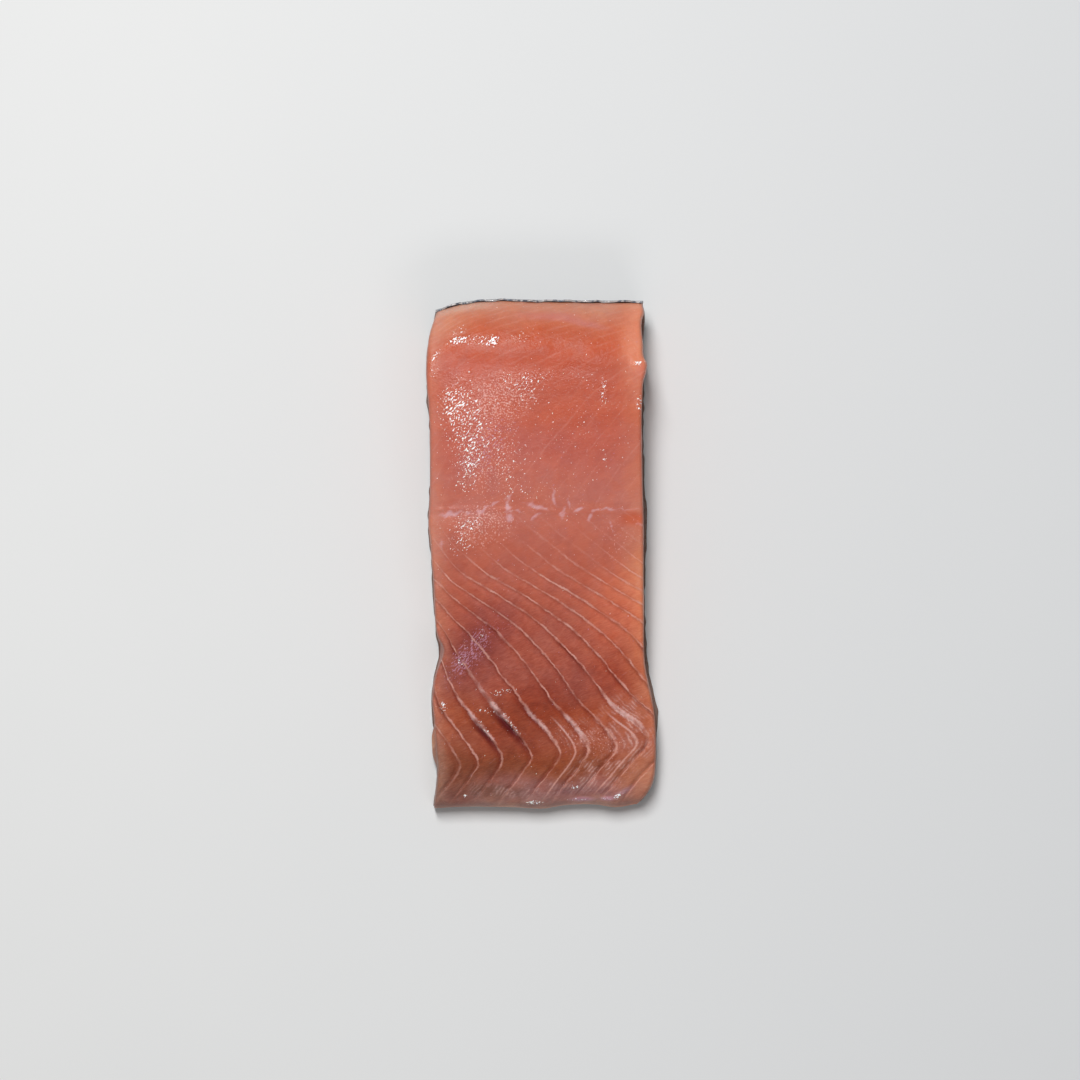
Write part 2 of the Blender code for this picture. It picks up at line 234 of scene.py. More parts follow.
@dataclass(frozen=True)
class PortionForm:
    """The portion's real sizes and the shape that they give, the same as in the solids."""

    skin_thick: float = 0.9
    skin_rim_thick: float = 0.5
    bend_y: float = 56.0
    back_y: float = 72.5
    bend_z: float = 15.0
    skin_rim_z: float = 18.8
    skin_belly_y: float = -71.6
    skin_teeth: float = 0.55
    top_section: Stations = (
        (-71.9, 2.4), (-71.8, 4.4), (-71.2, 6.4), (-69.7, 8.3), (-66.6, 9.8), (-61.0, 11.3),
        (-52.0, 13.0), (-38.0, 15.2), (-20.0, 18.4), (-2.0, 21.6), (8.0, 22.9),
        (18.0, 23.9), (32.0, 26.0), (46.0, 27.0), (56.0, 26.6), (62.5, 25.2),
        (67.4, 23.0), (70.3, 20.9), (71.5, 19.0), (71.9, 17.2), (71.9, 15.4),
    )
    edge_round: float = 1.1
    crown: float = 0.7
    side_lean: float = 0.45
    swell: float = 0.45
    swell_cell: float = 19.0
    flesh_left: Stations = (
        (-72.2, -30.9), (-69.8, -30.7), (-65.8, -30.1), (-61.1, -29.8), (-54.0, -30.3),
        (-47.8, -30.7), (-40.8, -31.2), (-37.1, -30.9), (-33.7, -30.2), (-30.9, -29.3),
        (-28.5, -28.7), (-26.3, -28.6), (-23.2, -29.7), (-20.1, -30.2), (-13.0, -30.6),
        (-7.2, -30.9), (-1.4, -31.4), (4.6, -31.8), (8.9, -32.2), (13.4, -32.0),
        (20.5, -31.8), (38.7, -32.0), (44.1, -32.3), (47.0, -32.6), (57.7, -32.6),
        (62.1, -32.3), (64.5, -32.0), (67.1, -31.4), (69.0, -30.8), (71.9, -29.8),
    )
    flesh_right: Stations = (
        (-72.2, 27.0), (-71.0, 28.2), (-69.4, 29.6), (-67.0, 31.0), (-64.2, 31.9),
        (-59.9, 32.4), (-52.5, 32.5), (-49.1, 32.4), (-45.0, 32.1), (-40.8, 31.3),
        (-36.3, 30.3), (-32.6, 29.5), (-26.1, 29.1), (-18.4, 29.0), (3.5, 28.9),
        (12.8, 28.8), (20.5, 28.6), (30.0, 28.4), (44.1, 28.5), (49.2, 28.8),
        (52.7, 29.6), (54.3, 29.7), (56.0, 28.9), (60.3, 28.6), (67.5, 28.4),
        (69.2, 28.9), (71.2, 28.5),
    )
    skin_left: Stations = (
        (-71.6, -30.6), (-61.1, -29.9), (-54.0, -30.4), (-40.8, -31.6), (-37.1, -31.2),
        (-30.9, -29.9), (-28.5, -29.3), (-23.2, -30.2), (-13.0, -31.0), (-1.4, -31.7),
        (8.9, -32.5), (20.5, -32.0), (38.7, -32.3), (44.6, -33.0), (47.2, -32.9),
        (57.7, -32.9), (62.1, -32.5), (65.0, -32.1), (68.0, -31.3), (72.5, -30.0),
    )
    skin_right: Stations = (
        (-71.6, 26.9), (-69.4, 29.1), (-64.2, 31.5), (-56.0, 32.2), (-51.3, 32.9),
        (-49.0, 33.1), (-45.0, 33.1), (-40.8, 32.3), (-35.4, 30.9), (-30.2, 30.1),
        (-21.5, 29.7), (-8.5, 29.4), (3.5, 29.9), (10.0, 29.9), (24.2, 29.2),
        (48.0, 29.1), (62.0, 28.9), (67.6, 29.2), (72.5, 28.8),
    )
    back_shift: Stations = (
        (-33.0, -3.1), (-29.7, -2.8), (-25.9, -1.6), (-22.1, -0.7), (-15.6, 0.0),
        (0.9, -0.15), (33.0, -0.4),
    )
    belly_shift: Stations = (
        (-31.0, -0.3), (-24.0, 0.1), (-8.0, 0.0), (1.0, -0.3), (6.0, 0.5),
        (16.0, 0.7), (21.0, 0.0), (26.5, 0.9),
    )
    end_reach: float = 26.0
    seam_at: Sequence[float] = (
        -59.0, -52.5, -46.5, -40.5, -34.0, -27.0, -21.5, -13.8, -5.2, 3.8,
        13.0, 20.8, 29.0, 36.8, 44.5, 52.4, 60.2, 68.0, 75.0, 82.0, 89.0, 96.5, 104.0,
        111.5, 119.0, 126.5, 134.0,
    )
    branch_at: Sequence[float] = (8.8, 25.4)
    branch_y: Sequence[float] = (-47.0, -45.0)
    sweep: Stations = (
        (-62.0, 6.5), (-59.0, 4.2), (-52.0, -0.6), (-44.0, -7.6), (-36.0, -13.7), (-28.0, -20.2),
        (-20.0, -28.6), (-12.0, -41.0), (-4.0, -55.3), (4.0, -66.5), (14.0, -80.0),
    )
    fan: float = 0.0017
    loin_sweep: Stations = (
        (13.0, 0.0), (17.0, 2.0), (24.0, 7.5), (36.0, 18.5), (48.0, 31.0), (54.0, 41.0),
        (60.0, 56.0), (66.0, 78.0), (72.0, 104.0),
    )
    chevron_y: float = -57.4
    chevron_round: float = 1.8
    chevron_tilt: float = 0.118
    chevron_back: float = 0.95
    corner_bend: tuple[float, float, float, float] = (29.0, -49.0, 8.0, 3.4)
    left_bend: tuple[float, float, float] = (-31.0, 4.5, 4.0)
    flake_top: float = 4.0
    flake_full: float = -16.0
    flake_pillow: float = 0.34
    seam_ridge: float = 0.14
    seam_cut: float = 0.34
    seam_width: float = 0.5
    gapes: Sequence[Gape] = (
        Gape(8, -48.6, 5.0, 2.9, 1.3, 0.95),
        Gape(7, -51.0, 4.4, 2.5, 1.2, 0.9),
        Gape(9, -45.5, 4.5, 1.9, 0.4, 0.4),
        Gape(6, -44.0, 4.0, 1.6, 0.4, 0.3),
    )
    midline_y: float = 12.6
    midline_dip: float = 0.35
    midline_wide: float = 4.5
    loin_step_y: float = 54.0
    loin_step: float = 0.12
    shred: tuple[float, float, float, float] = (0.36, -54.4, 5.2, 1.2)
    tongue: tuple[float, float, float, float] = (28.0, 52.0, 2.6, 0.5)

    def spread(self, x: Array, y: Array, depth: Array) -> tuple[Array, Array]:
        """Straightens the chevrons, so that every seam is at one value of the result.

        Args:
            x: Positions across the portion.
            y: Positions along the portion.
            depth: How far below the top each point is.

        Returns:
            The straightened position, and what turns a step of it into millimetres.
        """
        sweep = Track(self.sweep)
        turn = self.chevron_y + self.chevron_tilt * x
        rounded = np.hypot(y - turn, self.chevron_round)
        above, below = turn + (y - turn + rounded) / 2, (turn - y + rounded) / 2
        shift = sweep(above) + Track(self.loin_sweep)(y) - self.chevron_back * below
        bend_x, bend_y, reach, bend = self.corner_bend
        shift = shift + bend * bell((x - bend_x) / reach) * bell((y - bend_y) / reach)
        edge_x, edge_reach, edge_bend = self.left_bend
        edge = edge_bend * bell((x - edge_x) / edge_reach) * smooth(-48.0, -30.0, y)
        fan = 1 + self.fan * (np.minimum(above, self.midline_y) - self.chevron_y)
        across = (x - edge) * fan - shift + 0.35 * uneven(x, y, 8.0, 3) + 0.75 * depth + 0.035 * depth**2
        lean = (sweep(above + 0.5) - sweep(above - 0.5)) * (y > turn) + self.chevron_back * (y <= turn)
        lean = lean + Track(self.loin_sweep)(y + 0.5) - Track(self.loin_sweep)(y - 0.5)
        return across, 1 / np.sqrt(1 + lean * lean)

    def seams(self, x: Array, y: Array, depth: Array) -> tuple[Array, Array]:
        """Where a point lies among the seams between the flakes.

        Args:
            x: Positions across the portion.
            y: Positions along the portion.
            depth: How far below the top each point is.

        Returns:
            The number of seams passed, whole on a seam, and the gap between seams.
        """
        across, shrink = self.spread(x, y, depth)
        count = np.interp(across, self.seam_at, np.arange(len(self.seam_at)))
        spacing = np.interp(across, self.seam_at[:-1], np.diff(self.seam_at))
        return count, spacing * shrink

    def relief(self, x: Array, y: Array) -> Array:
        """The height that flakes, seams, gapes and midline add to the top of the flesh.

        Args:
            x: Positions across the portion.
            y: Positions along the portion.

        Returns:
            The added height at each point.
        """
        count, spacing = self.seams(x, y, 0 * x)
        away = (count - np.round(count)) * spacing
        strength = 1 - smooth(self.flake_full, self.flake_top, y)
        strength = strength * (0.35 + 0.65 * smooth(-70.5, -63.0, y))
        share = 2 * (count - np.floor(count)) - 1
        ragged = 1 + 0.45 * uneven(x, y, 1.6, 31)
        pillow = self.flake_pillow * (1 - share * share)
        ridge = self.seam_ridge * bell((away - 0.3) / self.seam_width) * ragged
        cut = self.seam_cut * bell((away + 0.55) / self.seam_width) * ragged
        height = strength * (pillow + ridge - cut)
        for gape in self.gapes:
            height = height - gape.depth * gape.mask(y, np.round(count), away)
        middle = y - self.midline_y - 0.8 * uneven(x, 0 * y, 11.0, 5)
        height = height - self.midline_dip * bell(middle / self.midline_wide)
        height = height + 0.3 * bell(middle / 0.7) * np.abs(uneven(x, y, 3.2, 6))
        step = y - self.loin_step_y + 0.09 * (x - 8.0)
        step_mask = smooth(-26.0, -18.0, x) * (1 - smooth(6.0, 12.0, step))
        height = height + self.loin_step * np.tanh(step / 1.5) * step_mask
        at_x, at_y, reach, size = self.tongue
        slant = (y - at_y + 0.4 * (x - at_x)) / reach
        height = height + size * np.exp(-(((x - at_x) / reach) ** 4) - slant**4)
        return height + self.swell * uneven(x, y, self.swell_cell, 7) + 0.12 * uneven(x, y, 4.5, 8)

    def skin_stations(self, inset: float) -> list[tuple[float, float]]:
        """The skin's path, moved inwards.

        Args:
            inset: How far inside the skin's outer face the path runs.

        Returns:
            The path's points as (y, z).
        """
        stations = [(self.skin_belly_y, inset), (self.bend_y, inset)]
        for angle in np.linspace(0.0, math.pi / 2, 60)[1:]:
            reach = self.back_y - self.bend_y - inset
            rise = self.bend_z - inset
            stations.append((self.bend_y + reach * math.sin(angle), self.bend_z - rise * math.cos(angle)))
        return stations

    def end_shift(self, x: Array, y: Array) -> Array:
        """How far points move along y, because the two ends aren't straight.

        Args:
            x: Positions across the portion.
            y: Positions along the portion.

        Returns:
            The move at each point.
        """
        back = Track(self.back_shift)(x) * smooth(self.back_y - self.end_reach, self.back_y - 2.0, y)
        fade = 1 - smooth(self.skin_belly_y + 1.0, self.skin_belly_y + self.end_reach, y)
        return back + Track(self.belly_shift)(x) * fade


@dataclass(frozen=True)
class Lattice:
    """The outside of a box of cells: across the portion, along it, and from under to top."""

    across: int
    along: int
    through: int
    under_step: int = 1
    side_ease: float = 0.0

    def number(self, i: Array, j: Array, k: Array) -> Array:
        """The number of the lattice point in column i, row j and layer k."""
        return (i * (self.along + 1) + j) * (self.through + 1) + k

    def faces(self) -> list[list[int]]:
        """The lattice's faces, coarser underneath, where nothing shows.

        Returns:
            Each face as point numbers, facing outwards.
        """
        faces: list[list[int]] = []
        cells = (self.across, self.along, self.through)
        for axis in range(3):
            a, b = (n for n in range(3) if n != axis)
            for side in (0, cells[axis]):
                if axis == 2 and side == 0 and self.under_step > 1:
                    continue
                grid = np.meshgrid(np.arange(cells[a]), np.arange(cells[b]), indexing="ij")
                p, q = (part.reshape(-1) for part in grid)
                corners = []
                for dp, dq in ((0, 0), (1, 0), (1, 1), (0, 1)):
                    at: list[Any] = [None, None, None]
                    at[axis], at[a], at[b] = np.full_like(p, side), p + dp, q + dq
                    corners.append(self.number(*at))
                quads = np.stack(corners, axis=1)
                faces += (quads if (side > 0) == (axis != 1) else quads[:, ::-1]).tolist()
        if self.under_step > 1:
            faces += self.under_faces()
        return faces

    def under_faces(self) -> list[list[int]]:
        """The coarse faces underneath, which still meet every point along the two ends.

        Returns:
            Each face as point numbers, facing down.
        """
        faces = []
        for j in range(self.along):
            for left in range(0, self.across, self.under_step):
                right = min(left + self.under_step, self.across)
                first = range(left, right + 1) if j == 0 else (left, right)
                last = range(right, left - 1, -1) if j == self.along - 1 else (right, left)
                ring = [self.number(i, j, 0) for i in first] + [self.number(i, j + 1, 0) for i in last]
                faces.append([int(n) for n in reversed(ring)])
        return faces

    def shares(self) -> tuple[Array, Array, Array]:
        """Where each lattice point lies in the box.

        Returns:
            The points' shares across, along and through, each from 0 to 1.
        """
        cells = (self.across, self.along, self.through)
        grid = np.meshgrid(*(np.arange(n + 1) for n in cells), indexing="ij")
        u, v, w = (part.reshape(-1) / n for part, n in zip(grid, cells))
        u = (1 - self.side_ease) * u + self.side_ease * (0.5 - 0.5 * np.cos(math.pi * u))
        return u, v, w


def make_piece(
    name: str, lattice: Lattice, points: Array, fields: dict[str, Array], material: bpy.types.Material
) -> bpy.types.Object:
    """Makes a smooth mesh object from a lattice whose points have been put in place.

    Args:
        name: The piece's name.
        lattice: The lattice that gives the faces.
        points: The place of every lattice point, in millimetres.
        fields: Values at every lattice point, kept as attributes for the material.
        material: The piece's finish.

    Returns:
        The new object.
    """
    faces = lattice.faces()
    used = np.unique(np.concatenate([np.array(face) for face in faces]))
    renumber = np.full(len(points), -1)
    renumber[used] = np.arange(len(used))
    mesh = bpy.data.meshes.new(name)
    mesh.from_pydata((points[used] * MM).tolist(), [], [renumber[face].tolist() for face in faces])
    mesh.update()
    mesh.shade_smooth()
    for label, values in fields.items():
        if values.ndim == 2:
            colour = np.concatenate([values[used], np.ones((len(used), 1))], axis=1)
            mesh.attributes.new(label, "FLOAT_COLOR", "POINT").data.foreach_set("color", colour.ravel())
        else:
            mesh.attributes.new(label, "FLOAT", "POINT").data.foreach_set("value", values[used])
    mesh.materials.append(material)
    piece = bpy.data.objects.new(name, mesh)
    bpy.context.scene.collection.objects.link(piece)
    return piece


def set_inputs(tree: bpy.types.NodeTree, node: bpy.types.Node, values: dict) -> None:
    """Sets or links the inputs of a node.

    Args:
        tree: The node tree it is in.
        node: The node.
        values: Its inputs by name or number, each a plain value or an output to link.
    """
    for label, value in values.items():
        if isinstance(value, Socket):
            tree.links.new(value, node.inputs[label])
        else:
            node.inputs[label].default_value = value


def add_node(
    tree: bpy.types.NodeTree, kind: str, values: Optional[dict] = None, **settings: Any
) -> bpy.types.Node:
    """Adds one node with its settings and links.

    Args:
        tree: The node tree it goes in.
        kind: The node's type, without its "ShaderNode" prefix.
        values: Its inputs by name or number, each a plain value or an output to link.
        settings: The node's own properties.

    Returns:
        The new node.
    """
    node = tree.nodes.new("ShaderNode" + kind)
    for label, setting in settings.items():
        setattr(node, label, setting)
    set_inputs(tree, node, values or {})
    return node


class MaterialBench:
    """One material under construction, with the few steps that its finishes share."""

    def __init__(self, name: str) -> None:
        """Starts an empty material with a surface shader.

        Args:
            name: The real material and how its surface was made.
        """
        self.material = bpy.data.materials.new(name)
        self.material.use_nodes = True
        self.tree = self.material.node_tree
        self.tree.nodes.clear()
        self.shader = add_node(self.tree, "BsdfPrincipled")
        add_node(self.tree, "OutputMaterial", {"Surface": self.shader.outputs[0]})
        self.place = add_node(self.tree, "TexCoord").outputs["Object"]

    def dress(self, values: dict) -> bpy.types.Material:
        """Sets or links the surface shader's inputs, and hands over the material."""
        set_inputs(self.tree, self.shader, values)
        return self.material

    def field(self, label: str, colour: bool = False) -> Socket:
        """The mesh attribute of that name, as a number or a colour."""
        node = add_node(self.tree, "Attribute", attribute_name=label)
        return node.outputs["Color" if colour else "Fac"]

    def calc(self, how: str, first: Any, second: Any = 0.0, third: Any = 0.0) -> Socket:
        """One step of arithmetic on up to three numbers, each plain or linked."""
        return add_node(self.tree, "Math", {0: first, 1: second, 2: third}, operation=how).outputs[0]

    def ease(
        self, value: Any, low: float, high: float, start: float = 0.0, end: float = 1.0
    ) -> Socket:
        """Eases from start to end as the value goes from low to high."""
        values = {"Value": value, "From Min": low, "From Max": high, "To Min": start, "To Max": end}
        return add_node(self.tree, "MapRange", values, interpolation_type="SMOOTHSTEP").outputs["Result"]

    def grain(
        self, size: float, detail: float = 2.0, stretch: Sequence[float] = (1, 1, 1),
        turn: float = 0.0, distortion: float = 0.0,
    ) -> Socket:
        """A noise pattern at a real size.

        Args:
            size: Width of one lump, in millimetres.
            detail: How many finer layers it has.
            stretch: How much longer a lump is along each axis.
            turn: Degrees that the pattern is turned about Z.
            distortion: How much the pattern is bent.

        Returns:
            The pattern's value, about 0.5 on average.
        """
        scale = [1 / (size * MM * s) for s in stretch]
        angle = (0.0, 0.0, math.radians(-turn))
        turned = add_node(self.tree, "Mapping", {"Vector": self.place, "Rotation": angle})
        place = add_node(self.tree, "Mapping", {"Vector": turned.outputs[0], "Scale": scale})
        values = {"Vector": place.outputs[0], "Scale": 1.0, "Detail": detail, "Distortion": distortion}
        return add_node(self.tree, "TexNoise", values).outputs["Fac"]

    def mix(self, share: Any, first: Any, second: Any, how: str = "MIX") -> Socket:
        """Blends two colours.

        Args:
            share: How much of the second there is, 0 to 1.
            first: The first colour, a hex value or linked.
            second: The second colour, a hex value or linked.
            how: The way they are blended.

        Returns:
            The blend.
        """
        pair = [(*linear(c), 1.0) if isinstance(c, str) else c for c in (first, second)]
        values = {0: share, 6: pair[0], 7: pair[1]}
        return add_node(self.tree, "Mix", values, data_type="RGBA", blend_type=how).outputs[2]

    def bump(self, height: Any, rise: float, under: Optional[Socket] = None) -> Socket:
        """Adds fine relief on top of what is there.

        Args:
            height: The pattern, 0 to 1.
            rise: Its full height, in millimetres.
            under: The relief that it lies on, if any.

        Returns:
            The normal to link on.
        """
        values: dict[str, Any] = {"Height": height, "Distance": rise * MM, "Strength": 1.0}
        if under is not None:
            values["Normal"] = under
        return add_node(self.tree, "Bump", values).outputs[0]


class Zone(Enum):
    """The bands of colour along the flesh, from the belly edge to the back rim, by y in mm. Towards the
    belly they are partly painted light, lighter than the flesh's own tone to make up for the shade where
    the belly slopes away from the lamp.
    """

    # Partly painted light: the wet membrane's reflection and light on the end that slopes away from the
    # lamp
    BELLY_EDGE = (-72.0, "#ecc5b1")
    BELLY_FILM = (-68.6, "#dea59a")
    BELLY_FLAKES = (-62.0, "#b47153")
    CHEVRONS = (-53.0, "#c3765a")
    GAPE_BAND = (-46.0, "#c1704e")
    LOWER_FLAKES = (-38.0, "#c17562")
    DEEP_FLAKES = (-26.0, "#c87d6a")
    UPPER_FLAKES = (-2.0, "#c87965")
    OVER_MIDLINE = (21.0, "#ce8272")
    LOWER_LOIN = (30.0, "#cb7767")
    LOIN = (42.0, "#cd7259")
    UPPER_LOIN = (52.0, "#ca6c52")
    SHOULDER = (59.0, "#cb643c")
    BACK_RIM = (70.5, "#d59d85")


@dataclass(frozen=True)
class HeavySeam:
    """A stretch where one seam is thicker than the rest, in millimetres."""

    seam: int
    y: float
    reach: float
    extra: float


@dataclass(frozen=True)
class RawSalmonFlesh:
    """Raw salmon muscle, knife-cut and moist.

    The body is soft and a little translucent, so its shadows stay warm; the water film on it
    gives small sharp highlights, and more of them are painted into the colour as specks. The
    pale seams are the thin sheets of tissue between the flakes, each with a cut beside it.
    Patches are areas of another tone, three of them painted lilac highlights on the belly film;
    milky are the torn bits of tissue on the midline, strands are torn seams, and painted_sheens,
    painted_glints and painted_dew_glints are painted highlights where the film is wet enough
    to sparkle.
    """

    ior: float = 1.38
    gloss: float = 0.2
    roughness: float = 0.42
    body_weight: float = 0.2
    body_depth: float = 1.4
    film_roughness: float = 0.14
    film_weight: float = 0.35
    water_ior: float = 1.33
    cloud_warm: str = "#918072"
    cloud_cool: str = "#74828c"
    blotch_dark: str = "#5f5a58"
    blotch_light: str = "#a3a09e"
    fibre_dark: str = "#5a5654"
    fibre_light: str = "#a8a29e"
    thin_light: str = "#b9b0ac"
    seam: str = "#dfa79a"
    seam_bright: str = "#e4bab5"
    seam_shade: str = "#742c22"
    # Painted shade in the open gapes between flakes
    gape: str = "#55151c"
    painted_glint: str = "#ffffff"
    # Pink specks painted as highlights
    painted_dew_glint: str = "#e6b0a6"
    # Lilac specks painted as highlights
    painted_sheen: str = "#bd8aa0"
    milk: str = "#d3a9b0"
    strand: str = "#dcb0a8"
    film: str = "#b18a84"
    # Paler cut edges: partly their own colour, partly painted light
    left_edge: str = "#dca690"
    right_edge: str = "#e8ac88"
    under_fat: str = "#7d5a4c"
    heavy_seams: Sequence[HeavySeam] = (
        HeavySeam(7, -47.0, 7.0, 1.5),
        HeavySeam(8, -43.5, 7.5, 1.9),
        HeavySeam(9, -47.0, 6.0, 1.0),
        HeavySeam(10, -48.5, 5.5, 1.3),
        HeavySeam(11, -50.0, 5.0, 0.5),
        HeavySeam(12, -45.5, 5.0, 1.7),
        HeavySeam(6, -50.0, 7.0, 0.5),
    )
    patches: Sequence[Patch] = (
        Patch(-17.0, 38.0, 13.0, 19.0, 0.4, 0.0, "#d58a7c"),
        Patch(28.0, -54.0, 13.0, 13.0, 0.6, 0.0, "#c07a64"),
        Patch(-9.0, -50.5, 12.0, 8.0, 0.5, -8.0, "#a04c36"),
        Patch(-19.0, -26.5, 6.5, 12.0, 0.62, -42.0, "#9c5052"),
        Patch(-14.0, -20.0, 9.0, 8.0, 0.45, 0.0, "#b8645a"),
        Patch(-29.0, 65.5, 7.0, 5.0, 0.3, 30.0, "#e2b198"),
        Patch(21.0, -17.0, 9.0, 13.0, 0.5, 0.0, "#ea9670"),
        Patch(0.0, -42.0, 10.0, 6.5, 0.45, 0.0, "#a03e26"),
        Patch(-21.0, -63.0, 12.0, 5.0, 0.4, 0.0, "#8f4c35"),
        Patch(-14.0, -67.3, 9.0, 2.2, 0.5, 0.0, "#83604f"),
        Patch(-24.0, -50.0, 6.0, 12.0, 0.4, 0.0, "#c07a5e"),
        Patch(-26.0, -63.0, 9.0, 9.0, 0.6, 0.0, "#9c654e"),
        Patch(28.5, 60.0, 6.5, 14.0, 0.8, 0.0, "#e6a284"),
        Patch(24.0, -48.0, 9.0, 10.0, 0.45, 0.0, "#d0896c"),
        Patch(28.0, -64.0, 7.0, 8.0, 0.55, 0.0, "#d8a68c"),
        Patch(22.0, -33.0, 9.0, 8.0, 0.4, 0.0, "#bd5830"),
        Patch(-30.0, -62.0, 2.8, 12.0, 0.6, 0.0, "#c4a392"),
        Patch(-22.0, 71.0, 8.0, 1.5, 0.6, 0.0, "#dcc0b2"),
        Patch(-31.8, -55.0, 1.1, 5.0, 0.9, 0.0, "#ecc8aa"),
        Patch(-20.0, 53.0, 9.0, 2.2, 0.6, 8.0, "#cc6446"),
        Patch(25.5, 10.5, 3.4, 2.0, 0.8, 0.0, "#cf6a45"),
        Patch(27.9, 51.8, 2.2, 2.8, 0.7, 0.0, "#d98f7e"),
        Patch(2.0, 67.6, 9.0, 1.3, 0.5, 0.0, "#cf8f8c"),
        Patch(11.0, 65.8, 8.0, 1.0, 0.5, -12.0, "#cf8f8c"),
        Patch(12.0, -67.6, 10.0, 1.3, 0.4, 0.0, "#9c717a"),
        # Painted highlights: lilac reflections on the wet membrane along the belly edge
        Patch(11.5, -70.2, 3.6, 0.7, 0.9, 0.0, "#dcb6c4"),
        Patch(18.8, -69.4, 2.2, 0.7, 0.9, 12.0, "#dcb6c4"),
        Patch(23.5, -67.4, 3.0, 0.8, 0.6, 25.0, "#d3b0bb"),
    )
    milky: Sequence[Patch] = (
        Patch(-21.5, 12.2, 2.0, 0.5, 0.7, 10.0),
        Patch(-13.4, 14.4, 1.8, 0.5, 0.8, 25.0),
        Patch(-9.3, 16.6, 1.2, 0.6, 0.8, 30.0),
        Patch(-6.2, 12.3, 1.4, 0.4, 0.6, -20.0),
        Patch(0.8, 12.9, 2.2, 0.4, 0.7, -8.0),
        Patch(7.6, 14.9, 0.5, 2.0, 0.6, 20.0),
        Patch(15.2, 13.2, 1.3, 0.4, 0.8, 10.0),
        Patch(-26.2, 11.4, 3.2, 0.95, 1.0, 8.0),
        Patch(-17.1, 12.6, 2.2, 0.8, 1.0, 32.0),
        Patch(-9.7, 13.8, 1.0, 2.3, 1.0, 14.0),
        Patch(-9.0, 10.8, 1.0, 1.4, 0.9, -10.0),
        Patch(-2.2, 14.1, 2.5, 0.75, 1.0, -14.0),
        Patch(-1.9, 10.9, 1.7, 0.7, 0.8, 42.0),
        Patch(3.7, 16.3, 0.5, 3.2, 0.9, 15.0),
        Patch(5.8, 11.9, 0.8, 1.8, 0.8, -24.0),
        Patch(10.8, 12.8, 1.6, 0.5, 1.0, 20.0),
        Patch(13.9, 11.0, 0.5, 2.2, 0.7, -20.0),
        Patch(18.8, 13.1, 2.1, 0.6, 0.9, 0.0),
        Patch(24.0, 13.0, 3.6, 0.35, 0.7, -3.0),
        Patch(19.6, 8.6, 0.45, 2.4, 0.6, 12.0),
        Patch(27.4, 8.9, 1.5, 0.4, 0.8, 0.0),
        Patch(-28.2, 2.2, 0.5, 2.0, 0.6, 10.0),
    )
    calm: Patch = Patch(-4.0, 55.8, 27.0, 3.2, 1.0, 3.0)
    strands: Sequence[Patch] = (
        Patch(23.5, -47.0, 7.0, 6.0, 1.0, 30.0),
        Patch(27.0, -53.0, 5.0, 7.0, 0.9, 0.0),
        Patch(18.0, -61.0, 12.0, 5.5, 0.85, 25.0),
        Patch(12.0, -51.0, 6.0, 4.0, 0.5, 0.0),
        Patch(-4.0, -66.5, 16.0, 2.6, 0.6, 0.0),
    )
    # Where lilac highlights are painted
    painted_sheens: Sequence[Patch] = (
        Patch(-20.6, -28.0, 4.0, 11.0, 0.9, -40.0),
        Patch(-23.6, -31.0, 2.2, 3.4, 0.95, -30.0),
        Patch(-15.5, 31.5, 5.5, 12.0, 0.64, -30.0),
        Patch(-13.0, -20.0, 6.0, 5.0, 0.35, 0.0),
    )
